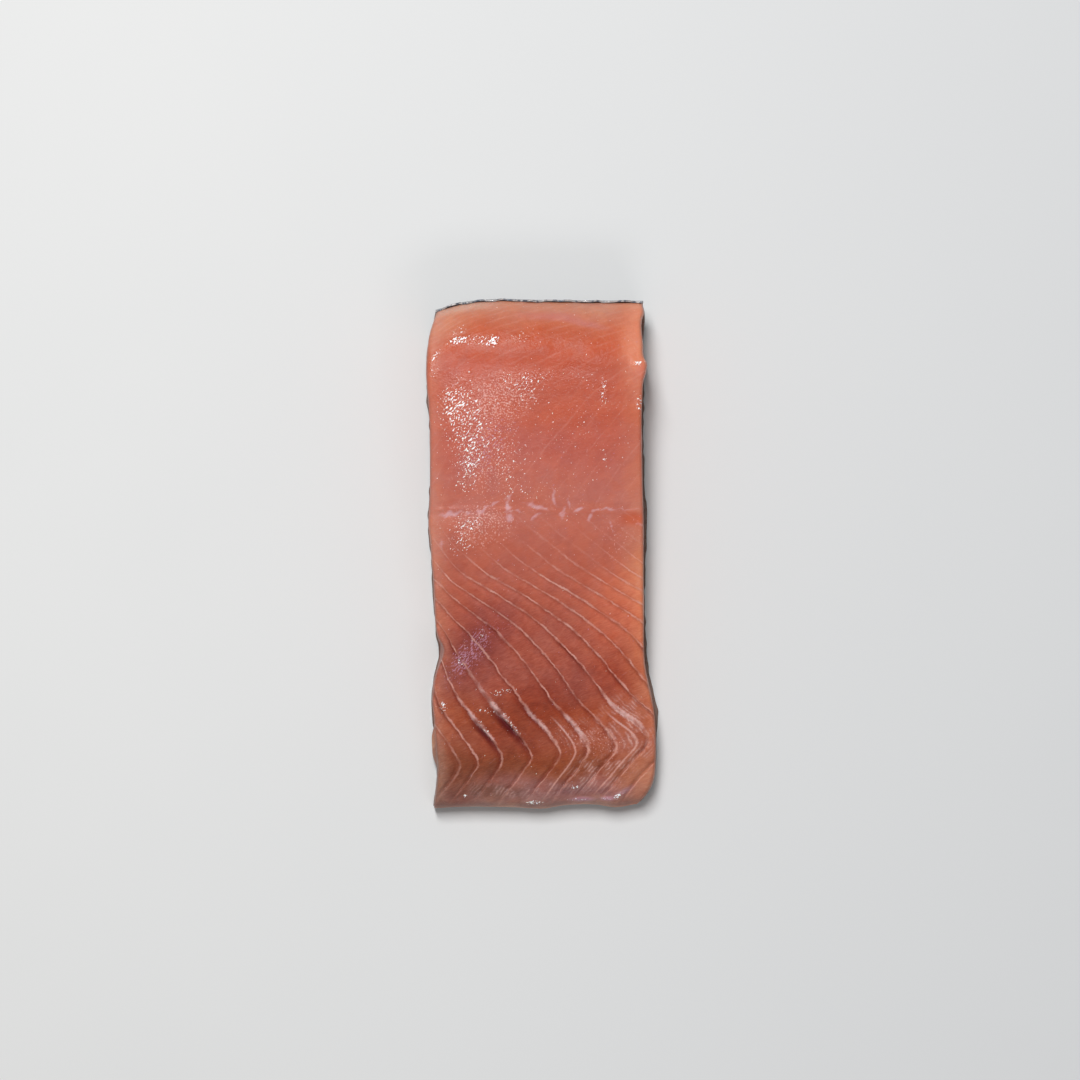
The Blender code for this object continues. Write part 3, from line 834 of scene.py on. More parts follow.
    # Where white highlights are painted into the colour; the same field also makes the water film glossier
    painted_glints: Sequence[Patch] = (
        Patch(0.0, 38.0, 32.0, 30.0, 0.25, 0.0),
        Patch(-21.0, 37.0, 7.0, 14.0, 1.0, 8.0),
        Patch(-24.0, 42.5, 5.5, 6.5, 1.2, 0.0),
        Patch(-19.5, 29.0, 4.6, 11.0, 1.05, -14.0),
        Patch(-11.0, 28.0, 8.0, 12.0, 0.6, 20.0),
        Patch(-4.0, 49.0, 8.0, 3.0, 0.85, 12.0),
        Patch(-23.4, 61.3, 3.4, 1.3, 1.55, 3.0),
        Patch(-17.6, 61.0, 4.4, 2.2, 0.85, 0.0),
        Patch(-13.9, 60.4, 2.0, 1.6, 1.7, 30.0),
        Patch(-30.0, 57.4, 3.0, 0.9, 1.25, 55.0),
        Patch(-30.2, 52.5, 1.8, 3.2, 0.85, 0.0),
        Patch(-24.0, 64.2, 3.0, 1.4, 0.7, 0.0),
        Patch(-6.0, 61.2, 3.4, 1.4, 0.75, 0.0),
        Patch(-20.4, 51.8, 0.8, 0.5, 1.8, 0.0),
        Patch(-10.0, 50.0, 5.0, 2.2, 0.7, 0.0),
        Patch(-4.0, 44.5, 4.0, 4.5, 0.7, 0.0),
        Patch(17.4, 46.0, 1.3, 4.4, 0.95, 0.0),
        Patch(17.8, 27.5, 0.9, 5.0, 0.7, 0.0),
        Patch(27.4, 43.0, 1.4, 3.2, 0.9, 0.0),
        Patch(27.6, 54.2, 2.2, 0.7, 1.5, 12.0),
        Patch(-20.5, 8.2, 4.5, 3.6, 0.85, 0.0),
        Patch(-21.5, 20.5, 4.5, 4.0, 0.75, 0.0),
        Patch(-23.0, 4.5, 4.0, 6.0, 0.7, 0.0),
        Patch(-6.0, 18.0, 7.0, 3.0, 0.65, 0.0),
        Patch(-22.9, -30.0, 1.3, 2.8, 0.95, -30.0),
        Patch(-18.5, -24.5, 1.8, 5.5, 0.45, -42.0),
        Patch(-28.0, -43.0, 1.2, 1.8, 1.1, 0.0),
        Patch(-9.1, -47.4, 0.8, 5.5, 1.0, 38.0),
        Patch(-16.5, -48.8, 0.7, 4.5, 0.95, 38.0),
        Patch(-12.5, -39.0, 5.5, 1.0, 0.95, 8.0),
        Patch(-16.0, -44.0, 3.5, 1.2, 0.8, 0.0),
        Patch(-2.4, -70.0, 2.4, 0.6, 1.7, 0.0),
        Patch(11.1, -70.2, 3.2, 0.5, 1.1, 0.0),
        Patch(18.4, -69.6, 1.8, 0.5, 1.1, 0.0),
        Patch(9.6, -66.6, 1.5, 0.5, 1.5, 0.0),
        Patch(21.6, -68.4, 1.6, 0.8, 1.9, 25.0),
        Patch(-21.7, -68.6, 0.8, 0.5, 1.5, 0.0),
    )
    # Where fine pink highlights are painted
    painted_dew_glints: Sequence[Patch] = (
        Patch(0.0, 34.0, 32.0, 34.0, 0.3, 0.0),
        Patch(-12.0, 44.0, 12.0, 9.0, 0.98, 20.0),
        Patch(-16.0, 28.0, 12.0, 14.0, 0.8, 0.0),
        Patch(-17.0, 9.0, 11.0, 8.0, 0.8, 0.0),
        Patch(-20.9, -27.6, 3.6, 9.0, 0.35, -42.0),
        Patch(14.0, -52.0, 13.0, 5.0, 0.6, -10.0),
        Patch(22.0, 5.0, 8.0, 8.0, 0.4, 0.0),
    )

    def tones(self, form: PortionForm, x: Array, y: Array, z: Array, left: Array, right: Array) -> Array:
        """The flesh's own colour, before seams and grain.

        Args:
            form: The portion's shape.
            x: Positions across the portion.
            y: Positions along the portion.
            z: Heights.
            left: The left edge at each point.
            right: The right edge at each point.

        Returns:
            Linear red, green and blue at each point.
        """
        stops = [(zone.value[0], *linear(zone.value[1])) for zone in Zone]
        wander = y + 1.6 * uneven(x, y, 8.0, 41)
        tone = np.stack([Track([(s[0], s[c]) for s in stops])(wander) for c in (1, 2, 3)], axis=1)

        def lay(colour: str, share: Array) -> None:
            """Lays a colour over the tones by a share at each point."""
            nonlocal tone
            share = np.clip(share, 0.0, 1.0)[:, None]
            tone = tone * (1 - share) + np.array(linear(colour)) * share

        # The cut edges are paler: partly their own colour, partly painted light that makes up for the
        # shade on their rounded slopes
        left_share = 0.4 + 0.25 * smooth(20.0, 0.0, y) + 0.2 * smooth(-35.0, -50.0, y)
        lay(self.left_edge, bell((x - left) / 3.6) * left_share)
        lay(self.right_edge, bell((right - x) / 5.0) * (0.25 + 0.6 * smooth(10.0, -10.0, y)))
        cloth = smooth(-61.0, -67.0, y + 2.0 * uneven(x, y, 7.0, 44) + 0.05 * x) * smooth(4.0, 7.0, z)
        lay(self.film, 0.72 * cloth * (0.85 + 0.25 * uneven(x, y, 3.0, 45)))
        for patch in self.patches:
            lay(patch.colour, patch.mask(x, y))
        floor = form.skin_thick
        lateral = 3.4 * bell((y - form.midline_y) / 9.0)
        lay(self.under_fat, 0.85 * np.exp(-np.clip(z - floor, 0.0, None) / (1.0 + lateral)) * (y < 64.0))
        return tone

    def build(self) -> bpy.types.Material:
        """Builds the material.

        Returns:
            The finished material.
        """
        bench = MaterialBench("raw_salmon_flesh_knife_cut")
        # Muscle fibres are about 0.2 mm thick and 3 mm long between seams, and run 20 degrees off X
        fibres = bench.grain(0.3, 3.0, (6.0, 1.0, 1.0), 20.0, 0.6)
        mottle = bench.grain(3.0, 5.0, (1.4, 1.0, 1.0), 40.0, 0.8)
        wobble = bench.calc("MULTIPLY_ADD", bench.grain(1.9, 3.0), 0.14, -0.07)
        sway = bench.calc("MULTIPLY_ADD", bench.grain(7.0, 3.0), 0.22, -0.11)
        wobble = bench.calc("ADD", wobble, sway)
        half_on = bench.calc("ADD", bench.calc("ADD", bench.field("seam_count"), wobble), 0.5)
        phase = bench.calc("SUBTRACT", bench.calc("FRACT", half_on), 0.5)
        away = bench.calc("MULTIPLY", phase, bench.field("seam_gap"))
        colour = self.muscle(bench, fibres, mottle)
        colour = self.flake_light(bench, colour, away)
        colour = self.tissue(bench, colour, away, wobble)
        colour = self.painted_highlights(bench, colour)
        return self.surface(bench, colour, fibres, mottle)

    def muscle(self, bench: MaterialBench, fibres: Socket, mottle: Socket) -> Socket:
        """The muscle's colour: its tones, clouded, mottled and streaked along the fibres.

        Args:
            bench: The material being built.
            fibres: The fine grain of the muscle fibres.
            mottle: The coarser blotches.

        Returns:
            The colour.
        """
        fibrous = bench.field("fibrous")
        cloud = bench.ease(bench.grain(7.0, 3.0, distortion=0.6), 0.35, 0.65)
        cloud = bench.mix(cloud, self.cloud_warm, self.cloud_cool)
        colour = bench.mix(0.5, bench.field("tone", colour=True), cloud, "SOFT_LIGHT")
        blotch = bench.mix(bench.ease(mottle, 0.3, 0.7), self.blotch_dark, self.blotch_light)
        share = bench.calc("MULTIPLY_ADD", fibrous, 0.55, 0.19)
        colour = bench.mix(share, colour, blotch, "SOFT_LIGHT")
        streak = bench.mix(bench.ease(fibres, 0.3, 0.7), self.fibre_dark, self.fibre_light)
        return bench.mix(fibrous, colour, streak, "SOFT_LIGHT")

    def flake_light(self, bench: MaterialBench, colour: Socket, away: Socket) -> Socket:
        """Light through the thin top of each flake, and shade in the cut under it.

        Args:
            bench: The material being built.
            colour: The muscle's colour.
            away: The distance to the nearest seam, in millimetres, below zero on its belly side.

        Returns:
            The colour with light and shade.
        """
        dark = bench.field("painted_seam_light_and_shade")
        thin = bench.calc("MULTIPLY", bench.ease(away, 0.1, 0.5), bench.ease(away, 0.8, 4.0, 1.0, 0.0))
        colour = bench.mix(bench.calc("MULTIPLY", thin, dark), colour, self.thin_light, "SOFT_LIGHT")
        near = bench.calc(
            "MULTIPLY", bench.ease(away, -1.3, -0.4), bench.ease(away, -0.35, -0.05, 1.0, 0.0)
        )
        shade = bench.calc("MULTIPLY_ADD", bench.ease(away, -2.6, -0.2), 0.6, near)
        shade = bench.calc("MULTIPLY", shade, bench.ease(away, -0.1, 0.05, 1.0, 0.0))
        shade = bench.calc("MULTIPLY", shade, dark)
        return bench.mix(shade, colour, self.seam_shade)

    def tissue(self, bench: MaterialBench, colour: Socket, away: Socket, wobble: Socket) -> Socket:
        """The pale tissue of the seams, their strands and the midline, and the painted shade in the open
        gapes.

        Args:
            bench: The material being built.
            colour: What it lies on.
            away: The distance to the nearest seam, in millimetres.
            wobble: A coarse grain that bends the lines.

        Returns:
            The colour with the tissue.
        """
        fine, wide = bench.grain(0.5, 2.0), bench.field("seam_wide")
        torn = bench.ease(bench.grain(3.2, 4.0), 0.36, 0.64, 0.2, 1.0)
        pale = bench.calc("MULTIPLY", self.thread(bench, away, wide, fine), torn)
        pale = bench.calc("MULTIPLY", pale, bench.field("seam_show"))
        branch = self.thread(bench, bench.calc("ADD", bench.field("branch"), wobble), 0.9, fine)
        branch = bench.calc("MULTIPLY", branch, bench.field("branch_show"))
        pale = bench.calc("MULTIPLY", bench.calc("MAXIMUM", pale, branch), 0.9)
        thread = bench.mix(bench.ease(wide, 1.2, 2.2), self.seam, self.seam_bright)
        colour = bench.mix(pale, colour, thread)
        strands = bench.calc("MULTIPLY", self.strand_lines(bench, wobble), 0.62)
        colour = bench.mix(strands, colour, self.strand)
        # Paints the shade in the open gapes
        colour = bench.mix(bench.field("gape"), colour, self.gape)
        frayed = bench.grain(1.1, 4.0, (2.2, 1.0, 1.0), 25.0, 0.8)
        milk = bench.calc("MULTIPLY_ADD", frayed, 1.5, -0.75)
        milk = bench.calc("ADD", bench.field("milk"), milk)
        return bench.mix(bench.ease(milk, 0.15, 1.15, 0.0, 0.66), colour, self.milk)

    def painted_highlights(self, bench: MaterialBench, colour: Socket) -> Socket:
        """Paints the highlights: the specks in which the wet film on the flesh catches the light.

        Args:
            bench: The material being built.
            colour: What they lie on.

        Returns:
            The colour with the specks.
        """
        # Painted highlights in pink, lilac and white. Real specks are 0.2 to 0.5 mm wide; none is drawn
        # finer than 0.36 mm, so that they all show
        painted_dew_glint = bench.calc("MULTIPLY_ADD", bench.field("painted_dew_glint"), 0.24, bench.grain(0.46, 2.0))
        colour = bench.mix(bench.ease(painted_dew_glint, 0.72, 0.84, 0.0, 0.65), colour, self.painted_dew_glint)
        grain = bench.grain(0.36, 2.0, (2.4, 1.0, 1.0), 50.0, 0.4)
        painted_sheen = bench.calc("MULTIPLY_ADD", bench.field("painted_sheen"), 0.24, grain)
        colour = bench.mix(bench.ease(painted_sheen, 0.7, 0.82, 0.0, 0.66), colour, self.painted_sheen)
        grain = bench.grain(0.4, 1.0, (1.7, 1.0, 1.0), 50.0, 0.4)
        painted_glint = bench.calc("MULTIPLY_ADD", bench.field("wet"), 0.2, grain)
        return bench.mix(bench.ease(painted_glint, 0.79, 0.83), colour, self.painted_glint)

    def surface(
        self, bench: MaterialBench, colour: Socket, fibres: Socket, mottle: Socket
    ) -> bpy.types.Material:
        """The relief and gloss: a soft body under a water film that is thicker where it is wet.

        Args:
            bench: The material being built.
            colour: The finished colour.
            fibres: The fine grain of the muscle fibres.
            mottle: The coarser blotches.

        Returns:
            The finished material.
        """
        wet = bench.field("wet")
        relief = bench.bump(bench.grain(1.3, 3.0), 0.1, bench.bump(fibres, 0.04))
        drops = bench.calc("MULTIPLY_ADD", wet, 0.8, 0.12)
        relief = bench.bump(bench.calc("MULTIPLY", bench.grain(0.6, 2.0), drops), 0.22, relief)
        rough = bench.calc("MULTIPLY_ADD", mottle, 0.16, self.roughness - 0.08)
        film = bench.calc("MULTIPLY_ADD", bench.calc("MINIMUM", wet, 1.0), self.film_weight, 0.04)
        return bench.dress({
            "Base Color": colour,
            "Roughness": bench.calc("MULTIPLY_ADD", wet, -0.1, rough),
            "Normal": relief,
            "IOR": self.ior,
            "Specular IOR Level": self.gloss,
            "Subsurface Weight": self.body_weight,
            "Subsurface Radius": (1.0, 0.32, 0.2),
            "Subsurface Scale": self.body_depth * MM,
            "Coat Weight": film,
            "Coat Roughness": self.film_roughness,
            "Coat IOR": self.water_ior,
            "Coat Normal": relief,
        })

    def strand_lines(self, bench: MaterialBench, wobble: Any) -> Socket:
        """The finer pale strands that run beside the seams where the flakes are torn.

        Args:
            bench: The material being built.
            wobble: A coarse grain that bends the strands.

        Returns:
            1 on a strand, 0 beside it.
        """
        count = bench.calc("MULTIPLY_ADD", wobble, 1.3, bench.field("seam_count"))
        count = bench.calc("FRACT", bench.calc("MULTIPLY", count, 6.0))
        phase = bench.calc("ABSOLUTE", bench.calc("SUBTRACT", count, 0.5))
        frayed = bench.calc("MULTIPLY_ADD", bench.grain(0.6, 3.0), 0.5, -0.25)
        line = bench.ease(bench.calc("ADD", phase, frayed), 0.02, 0.34, 1.0, 0.22)
        torn = bench.ease(bench.grain(3.0, 4.0), 0.42, 0.62)
        return bench.calc("MULTIPLY", bench.calc("MULTIPLY", line, torn), bench.field("strand"))

    def thread(self, bench: MaterialBench, away: Any, wide: Any, fine: Any) -> Socket:
        """A ragged pale line along a seam.

        Args:
            bench: The material being built.
            away: The distance to the seam, in millimetres.
            wide: How many times its usual 0.5 mm the line is wide.
            fine: A fine grain that frays its edges.

        Returns:
            1 on the line, 0 beside it.
        """
        frayed = bench.calc("MULTIPLY_ADD", fine, 0.5, -0.25)
        off = bench.calc("ABSOLUTE", bench.calc("ADD", bench.calc("DIVIDE", away, wide), -0.04))
        return bench.ease(bench.calc("ADD", off, frayed), 0.05, 0.46, 1.0, 0.0)


@dataclass(frozen=True)
class WetFishSkin:
    """Wet salmon skin with its scales on.

    The scales overlap like tiles, 2.9 mm long in rows 2.2 mm apart, each with a darker rim.
    They turn from silver at the belly to blue-grey at the back, and shine like dull metal.
    """

    scale_long: float = 2.9
    scale_row: float = 2.2
    length: float = 157.0
    lateral_line: float = 84.2
    silver: float = 0.35
    worn: str = "#8d979c"
    scale_rim: str = "#2c343b"
    scale_light: str = "#e6e9e8"
    line_dark: str = "#4a545c"
    inner_tone: str = "#7c6358"
    rim_dark: str = "#626975"
    rim_pale: str = "#b3afae"
    spot: str = "#23262b"
    bands: Sequence[tuple[float, str]] = (
        (0.0, "#d3d3cf"), (0.28, "#bfc3c4"), (0.46, "#9aa2a8"), (0.6, "#6f7c86"),
        (0.76, "#4f5c67"), (0.9, "#3c4852"), (1.0, "#36414b"),
    )

    def build(self) -> bpy.types.Material:
        """Builds the material.

        Returns:
            The finished material.
        """
        bench = MaterialBench("wet_salmon_skin_with_scales")
        run, inside = bench.field("run"), bench.field("inside")
        lap = self.scales(bench, run)
        outside = bench.ease(inside, 0.2, 0.5, 1.0, 0.0)
        rim = bench.calc("MULTIPLY", bench.ease(lap, 0.72, 0.97), outside)
        patchy = bench.ease(bench.grain(4.0, 4.0), 0.4, 0.7, 0.0, 0.3)
        colour = bench.mix(patchy, self.band_colour(bench, run), self.worn)
        colour = bench.mix(bench.calc("MULTIPLY", rim, 0.55), colour, self.scale_rim)
        colour = bench.mix(bench.ease(lap, 0.0, 0.35, 0.22, 0.0), colour, self.scale_light)
        line = bench.calc("ABSOLUTE", bench.calc("SUBTRACT", run, self.lateral_line))
        colour = bench.mix(bench.ease(line, 0.25, 0.9, 0.5, 0.0), colour, self.line_dark)
        colour = bench.mix(bench.field("spot"), colour, self.spot)
        colour = bench.mix(bench.ease(inside, 0.3, 0.7), colour, self.inner_tone)
        torn = bench.mix(bench.ease(bench.grain(1.1, 3.0), 0.42, 0.56), self.rim_dark, self.rim_pale)
        colour = bench.mix(bench.ease(bench.field("rim"), 0.3, 0.7), colour, torn)
        step = bench.ease(inside, 0.3, 0.6, 1.0, 0.0)
        step = bench.calc("MULTIPLY", bench.calc("SUBTRACT", 1.0, lap), step)
        return bench.dress({
            "Base Color": colour,
            "Roughness": bench.ease(bench.grain(1.8, 3.0), 0.3, 0.7, 0.22, 0.42),
            "Metallic": bench.ease(inside, 0.2, 0.6, self.silver, 0.0),
            "Normal": bench.bump(bench.grain(0.5, 3.0), 0.05, bench.bump(step, 0.16)),
            "Coat Weight": 0.4,
            "Coat Roughness": 0.15,
        })

    def scales(self, bench: MaterialBench, run: Socket) -> Socket:
        """The overlapping scales, every other row half a scale on.

        Args:
            bench: The material being built.
            run: The distance from the belly edge along the skin, in millimetres.

        Returns:
            0 at a scale's root to 1 at its rounded rim.
        """
        bend = bench.calc("MULTIPLY_ADD", bench.grain(7.0, 2.0), 1.2, -0.6)
        rows = bench.calc("DIVIDE", bench.calc("ADD", run, bend), self.scale_row)
        odd = bench.calc("FRACT", bench.calc("MULTIPLY", bench.calc("FLOOR", rows), 0.5))
        off_middle = bench.calc("ABSOLUTE", bench.calc("SUBTRACT", bench.calc("FRACT", rows), 0.5))
        arc = bench.calc("MULTIPLY", bench.calc("POWER", off_middle, 2.0), 1.6)
        along = bench.calc("ADD", bench.calc("DIVIDE", bench.field("across"), self.scale_long), odd)
        return bench.calc("FRACT", bench.calc("ADD", along, arc))

    def band_colour(self, bench: MaterialBench, run: Socket) -> Socket:
        """The skin's colour from belly to back.

        Args:
            bench: The material being built.
            run: The distance from the belly edge along the skin, in millimetres.

        Returns:
            The colour.
        """
        ramp = add_node(bench.tree, "ValToRGB", {0: bench.calc("DIVIDE", run, self.length)})
        stops = ramp.color_ramp.elements
        stops[0].position, stops[0].color = self.bands[0][0], (*linear(self.bands[0][1]), 1.0)
        stops[1].position, stops[1].color = self.bands[-1][0], (*linear(self.bands[-1][1]), 1.0)
        for position, tone in self.bands[1:-1]:
            stops.new(position).color = (*linear(tone), 1.0)
        return ramp.outputs[0]


@dataclass(frozen=True)
class PaleTable:
    """A matt pale laminate surface, almost white, with painted shade that makes it a little darker towards
    the right.
    """

    colour: str = "#dfdfde"
    painted_falloff_colour: str = "#d1d2d3"
    cloud_colour: str = "#d6d7d7"
    roughness: float = 0.6
    gloss: float = 0.2

    def build(self) -> bpy.types.Material:
        """Builds the material.

        Returns:
            The finished material.
        """
        bench = MaterialBench("pale_matt_laminate")
        right = add_node(bench.tree, "SeparateXYZ", {"Vector": bench.place}).outputs["X"]
        # Painted shade: the table is darker towards the right, where less light falls
        tone = bench.mix(bench.ease(right, -0.25, 0.25), self.colour, self.painted_falloff_colour)
        cloud = bench.ease(bench.grain(90.0, 3.0), 0.3, 0.7, 0.0, 0.2)
        return bench.dress({
            "Base Color": bench.mix(cloud, tone, self.cloud_colour),
            "Roughness": self.roughness,
            "Specular IOR Level": self.gloss,
        })


@dataclass(frozen=True)
class Flesh:
    """The block of flesh: rounded loin, flaked belly and two knife-cut sides."""

    form: PortionForm
    finish: RawSalmonFlesh
    lattice: Lattice = Lattice(186, 400, 14, under_step=31, side_ease=0.3)

    def build(self) -> bpy.types.Object:
        """Builds the flesh and dresses it.

        Returns:
            The flesh, in place of its solid.
        """
        form = self.form
        u, v, w = self.lattice.shares()
        low = [(-71.2, form.skin_thick)] + form.skin_stations(form.skin_thick)[1:]
        (y_top, z_top), (y_low, z_low) = Section(form.top_section)(v), Section(low, curved=False)(v)
        y = y_low + (y_top - y_low) * w
        left, right = Track(form.flesh_left)(y), Track(form.flesh_right)(y)
        lean = form.side_lean * (w - 0.35) + 0.3 * uneven(y, 9 * w, 6.5, 12) * np.sin(math.pi * w)
        left = left + lean + 0.9 * bell((y + 27.2) / 3.0) * (w - 0.5)
        right = right - lean
        level, at_y, reach, size = form.shred
        left = left - size * np.exp(-(((y - at_y) / reach) ** 4) - ((w - level) / 0.16) ** 2)
        x = left + (right - left) * u
        inward = 1 - np.clip(np.minimum(x - left, right - x) / form.edge_round, 0.0, 1.0)
        drop = form.edge_round * (1 - np.sqrt(np.clip(1 - inward * inward, 0.0, 1.0)))
        drop = drop * np.clip((z_top - z_low) / 8.0, 0.0, 1.0)
        thick = np.clip((z_top - z_low - 1.5) / 5.0, 0.0, 1.0)
        lift = (form.crown * (1 - (2 * u - 1) ** 2) + form.relief(x, y)) * thick
        lift = lift * (1 - smooth(68.0, 71.0, y_top))
        top = z_top - drop + lift
        z = z_low + (top - z_low) * w
        fields = self.fields(x, y, z, np.maximum(top - z, 0.0), left, right)
        points = np.stack([x, y + form.end_shift(x, y), z], axis=1)
        piece = make_piece("salmon_flesh", self.lattice, points, fields, self.finish.build())
        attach(piece, "root")
        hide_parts("flesh")
        return piece

    def fields(
        self, x: Array, y: Array, z: Array, depth: Array, left: Array, right: Array
    ) -> dict[str, Array]:
        """What the material needs to know at each point.

        Args:
            x: Positions across the portion.
            y: Positions along the portion.
            z: Heights.
            depth: How far below the top each point is.
            left: The left edge at each point.
            right: The right edge at each point.

        Returns:
            The fields by name.
        """
        finish = self.finish
        top = 1 - smooth(1.0, 3.0, depth)
        lively = top * (1 - finish.calm.mask(x, y))
        fields = {
            "tone": finish.tones(self.form, x, y, z, left, right),
            "fibrous": 0.16 + 0.34 * smooth(8.0, -24.0, y),
            "strand": self.most(finish.strands, x, y, 0.8) * top,
            # Where lilac highlights are painted
            "painted_sheen": self.most(finish.painted_sheens, x, y, 0.5) * top,
            "milk": self.most(finish.milky, x, y, 0.6) * top,
            # Where fine pink highlights are painted
            "painted_dew_glint": self.most(finish.painted_dew_glints, x, y) * lively,
            # Where white highlights are painted, and where the water film is glossier
            "wet": self.most(finish.painted_glints, x, y) * lively,
        }
        return fields | self.seam_fields(x, y, z, depth) | self.branch_fields(x, y, depth)

    def seam_fields(self, x: Array, y: Array, z: Array, depth: Array) -> dict[str, Array]:
        """Where the seams and gapes lie, and how plainly each stretch of them shows.

        Args:
            x: Positions across the portion.
            y: Positions along the portion.
            z: Heights.
            depth: How far below the top each point is.

        Returns:
            The fields by name.
        """
        form = self.form
        count, gap = form.seams(x, y, depth)
        number = np.round(count).astype(int)
        turn = form.chevron_y + form.chevron_tilt * x
        # Each seam is as plain as it happens to be, and faint on the loin and under the belly film
        own = np.random.default_rng(61).uniform(0.7, 1.0, len(form.seam_at))[number]
        show = own * (1 - 0.84 * smooth(-12.0, 8.0, y)) * (0.9 + 0.35 * uneven(x, y, 5.0, 62))
        show = show * (1 - 0.45 * smooth(0.0, 4.0, turn - y)) * (0.2 + 0.8 * smooth(-70.0, -65.5, y))
        show = show * (0.55 + 0.45 * smooth(-28.0, -18.0, x + 0.4 * (y + 50.0)))
        side = 0.5 * smooth(1.0, 3.0, depth) * smooth(0.8, 2.2, z - form.skin_thick)
        show = np.maximum(show, side)
        wide = 0.86 + 0.3 * uneven(x, y, 4.0, 63) - 0.2 * smooth(0.0, 4.0, turn - y)
        for heavy in self.finish.heavy_seams:
            stretch = bell((y - heavy.y) / heavy.reach) * (number == heavy.seam)
            wide = wide + heavy.extra * stretch
            show = np.maximum(show, stretch)
        # How strongly the shade in the cut beside each seam and the light through each flake's thin top
        # are painted
        dark = 0.52 * show * smooth(0.0, -28.0, y) * (0.75 + 0.5 * uneven(x, y, 7.0, 64))
        away = (count - number) * gap
        # How dark the painted shade in each gape is
        gapes = [opening.dark * opening.mask(y, number, away) for opening in form.gapes]
        return {
            "seam_count": count,
            "seam_gap": gap,
            "seam_show": np.clip(show, 0.0, 1.0),
            "seam_wide": wide,
            "painted_seam_light_and_shade": np.clip(dark, 0.0, 1.0),
            "gape": np.max(gapes, axis=0),
        }

    def branch_fields(self, x: Array, y: Array, depth: Array) -> dict[str, Array]:
        """Where the short seams lie that branch off between the others near the belly.

        Args:
            x: Positions across the portion.
            y: Positions along the portion.
            depth: How far below the top each point is.

        Returns:
            The distance to the nearest, and how plainly it shows.
        """
        across, shrink = self.form.spread(x, y, depth)
        branch, show = 9 + 0 * x, 0 * x
        for at, top in zip(self.form.branch_at, self.form.branch_y):
            distance = (across - at) * shrink
            near = np.abs(distance) < np.abs(branch)
            branch = np.where(near, distance, branch)
            plain = 0.6 * smooth(top + 2.0, top - 3.0, y) * smooth(-70.0, -65.5, y)
            show = np.where(near, plain, show)
        return {"branch": branch, "branch_show": show}

    def most(self, patches: Sequence[Patch], x: Array, y: Array, fray: float = 0.0) -> Array:
        """The strongest of some patches at each point, with outlines frayed by that many mm."""
        x, y = x + fray * uneven(x, y, 1.3, 71), y + fray * uneven(x, y, 1.3, 72)
        return np.max([patch.mask(x, y) for patch in patches], axis=0)


@dataclass(frozen=True)
class Skin:
    """The skin: flat under the portion, turned up round the back end, ragged at its rim."""

    form: PortionForm
    finish: WetFishSkin
    lattice: Lattice = Lattice(150, 320, 2)
    rim_share: float = 0.03
    rim_wear: float = 0.35
    spots: Sequence[tuple[float, float, float]] = (
        (-19.0, 112.0, 2.1), (4.0, 124.0, 2.6), (17.0, 104.0, 1.8), (-6.0, 140.0, 1.9), (23.0, 133.0, 2.3),
    )

    def build(self) -> bpy.types.Object:
        """Builds the skin and dresses it.

        Returns:
            The skin, in place of its solid.
        """
        form = self.form
        u, v, w = self.lattice.shares()
        outer = Section(form.skin_stations(0.0), curved=False)
        inner = Section(form.skin_stations(form.skin_thick), curved=False)
        share = np.clip(v / (1 - self.rim_share), 0.0, 1.0)
        (y0, z0), (y1, z1) = outer(share), inner(share)
        upper = np.clip((v - 1 + self.rim_share) / self.rim_share, 0.0, 1.0)
        thin = smooth(9.0, form.bend_z, z0) * (1 - form.skin_rim_thick / form.skin_thick)
        worn = self.rim_wear * upper * np.clip(0.4 + uneven(62 * u, 0 * u, 2.2, 25), 0.0, 1.0)
        y, z = y0 + (y1 - y0) * w * (1 - thin) - worn, z0 + (z1 - z0) * w
        left = Track(form.skin_left)(y) + 0.22 * uneven(y, 0 * y, 2.3, 21)
        right = Track(form.skin_right)(y) + 0.22 * uneven(y, 0 * y, 2.1, 22)
        x = left * (1 - u) + right * u
        rim = (form.skin_rim_z - form.bend_z) + form.skin_teeth * uneven(x, 0 * x, 1.9, 23)
        rim = rim + 0.8 * uneven(x, 0 * x, 14.0, 24)
        z = z + rim * upper
        run = outer.length * share + 4.0 * upper
        spots = 0 * x
        for spot_x, spot_run, size in self.spots:
            away = np.hypot(x - spot_x, run - spot_run) / size + 0.35 * uneven(x, run, 1.8, 51)
            spots = np.maximum(spots, 0.85 * (1 - smooth(0.75, 1.1, away)))
        fields = {"run": run, "across": x, "inside": w, "spot": spots, "rim": upper}
        points = np.stack([x, y + form.end_shift(x, y), z], axis=1)
        piece = make_piece("salmon_skin", self.lattice, points, fields, self.finish.build())
        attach(piece, "root")
        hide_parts("skin")
        return piece


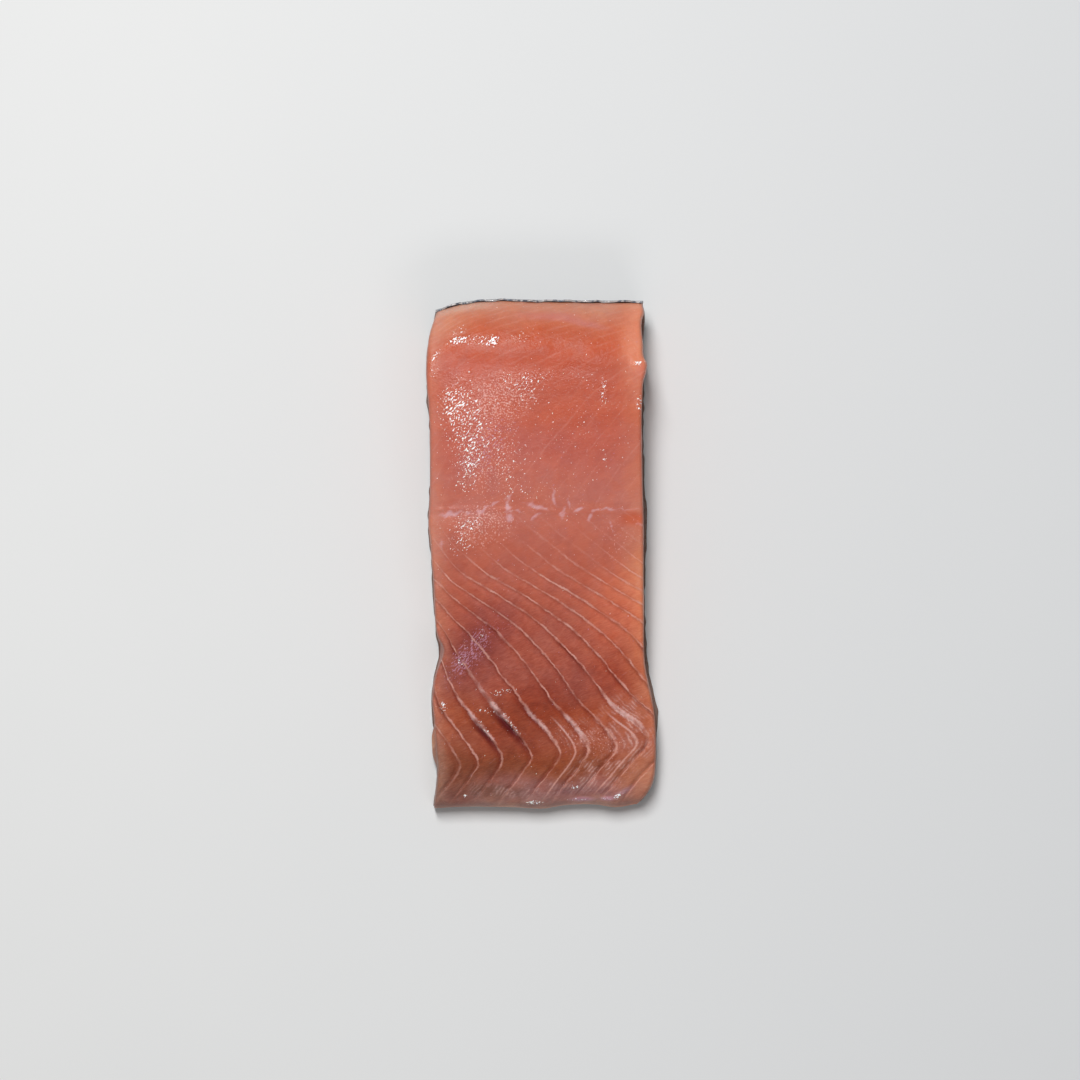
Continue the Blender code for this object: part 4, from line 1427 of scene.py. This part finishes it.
@dataclass(frozen=True)
class Studio:
    """A pale table, a soft light beyond the back end, a weak low fill and a camera straight above."""

    view_wide: float = 306.6
    camera_height: float = 2000.0
    centre_x: float = -0.54
    centre_y: float = 4.3
    focus_z: float = 12.0
    table_wide: float = 3200.0
    air_colour: str = "#f2f4f6"
    air_light: float = 0.2
    table: PaleTable = PaleTable()

    def build(self) -> None:
        """Builds the table, the lights and the camera."""
        self.build_table()
        self.light("strip_softbox", (-150.0, 540.0, 1230.0), (270.0, 620.0), 16.4)
        self.light("low_fill", (180.0, -640.0, 760.0), (560.0, 260.0), 1.35)
        world = bpy.data.worlds.new("studio_air")
        world.use_nodes = True
        air = {"Color": (*linear(self.air_colour), 1.0), "Strength": self.air_light}
        set_inputs(world.node_tree, world.node_tree.nodes["Background"], air)
        bpy.context.scene.world = world
        bpy.context.scene.view_settings.view_transform = "Standard"
        lens = bpy.data.cameras.new("overhead_camera")
        lens.sensor_width = 36.0
        lens.lens = 36.0 * self.camera_height / self.view_wide
        lens.clip_start, lens.clip_end = 0.05, 20.0
        camera = bpy.data.objects.new("overhead_camera", lens)
        camera.location = Vector((self.centre_x, self.centre_y, self.camera_height + self.focus_z)) * MM
        bpy.context.scene.collection.objects.link(camera)
        bpy.context.scene.camera = camera

    def build_table(self) -> None:
        """Builds the table top that the portion lies on."""
        half = self.table_wide / 2 * MM
        corners = [(-half, -half, 0.0), (half, -half, 0.0), (half, half, 0.0), (-half, half, 0.0)]
        mesh = bpy.data.meshes.new("table_top")
        mesh.from_pydata(corners, [], [(0, 1, 2, 3)])
        mesh.materials.append(self.table.build())
        floor = bpy.data.objects.new("table_top", mesh)
        bpy.context.scene.collection.objects.link(floor)

    def light(
        self, name: str, place: tuple[float, float, float], size: tuple[float, float], power: float
    ) -> None:
        """Hangs one rectangular soft light that faces the portion.

        Args:
            name: The light's name.
            place: Where it hangs, in millimetres.
            size: Its width and length, in millimetres.
            power: Its power in watts.
        """
        lamp = bpy.data.lights.new(name, "AREA")
        lamp.shape = "RECTANGLE"
        lamp.size, lamp.size_y = size[0] * MM, size[1] * MM
        lamp.energy = power
        holder = bpy.data.objects.new(name, lamp)
        holder.location = Vector(place) * MM
        holder.rotation_euler = (-holder.location).to_track_quat("-Z", "Y").to_euler()
        bpy.context.scene.collection.objects.link(holder)


def main() -> None:
    """Builds the portion and its studio."""
    logging.basicConfig(level=logging.INFO, format="%(message)s")
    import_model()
    form = PortionForm()
    for part in (Flesh(form, RawSalmonFlesh()), Skin(form, WetFishSkin())):
        piece = part.build()
        LOG.info("%s: %d points", piece.name, len(piece.data.vertices))
    Studio().build()


if __name__ == "__main__":
    main()
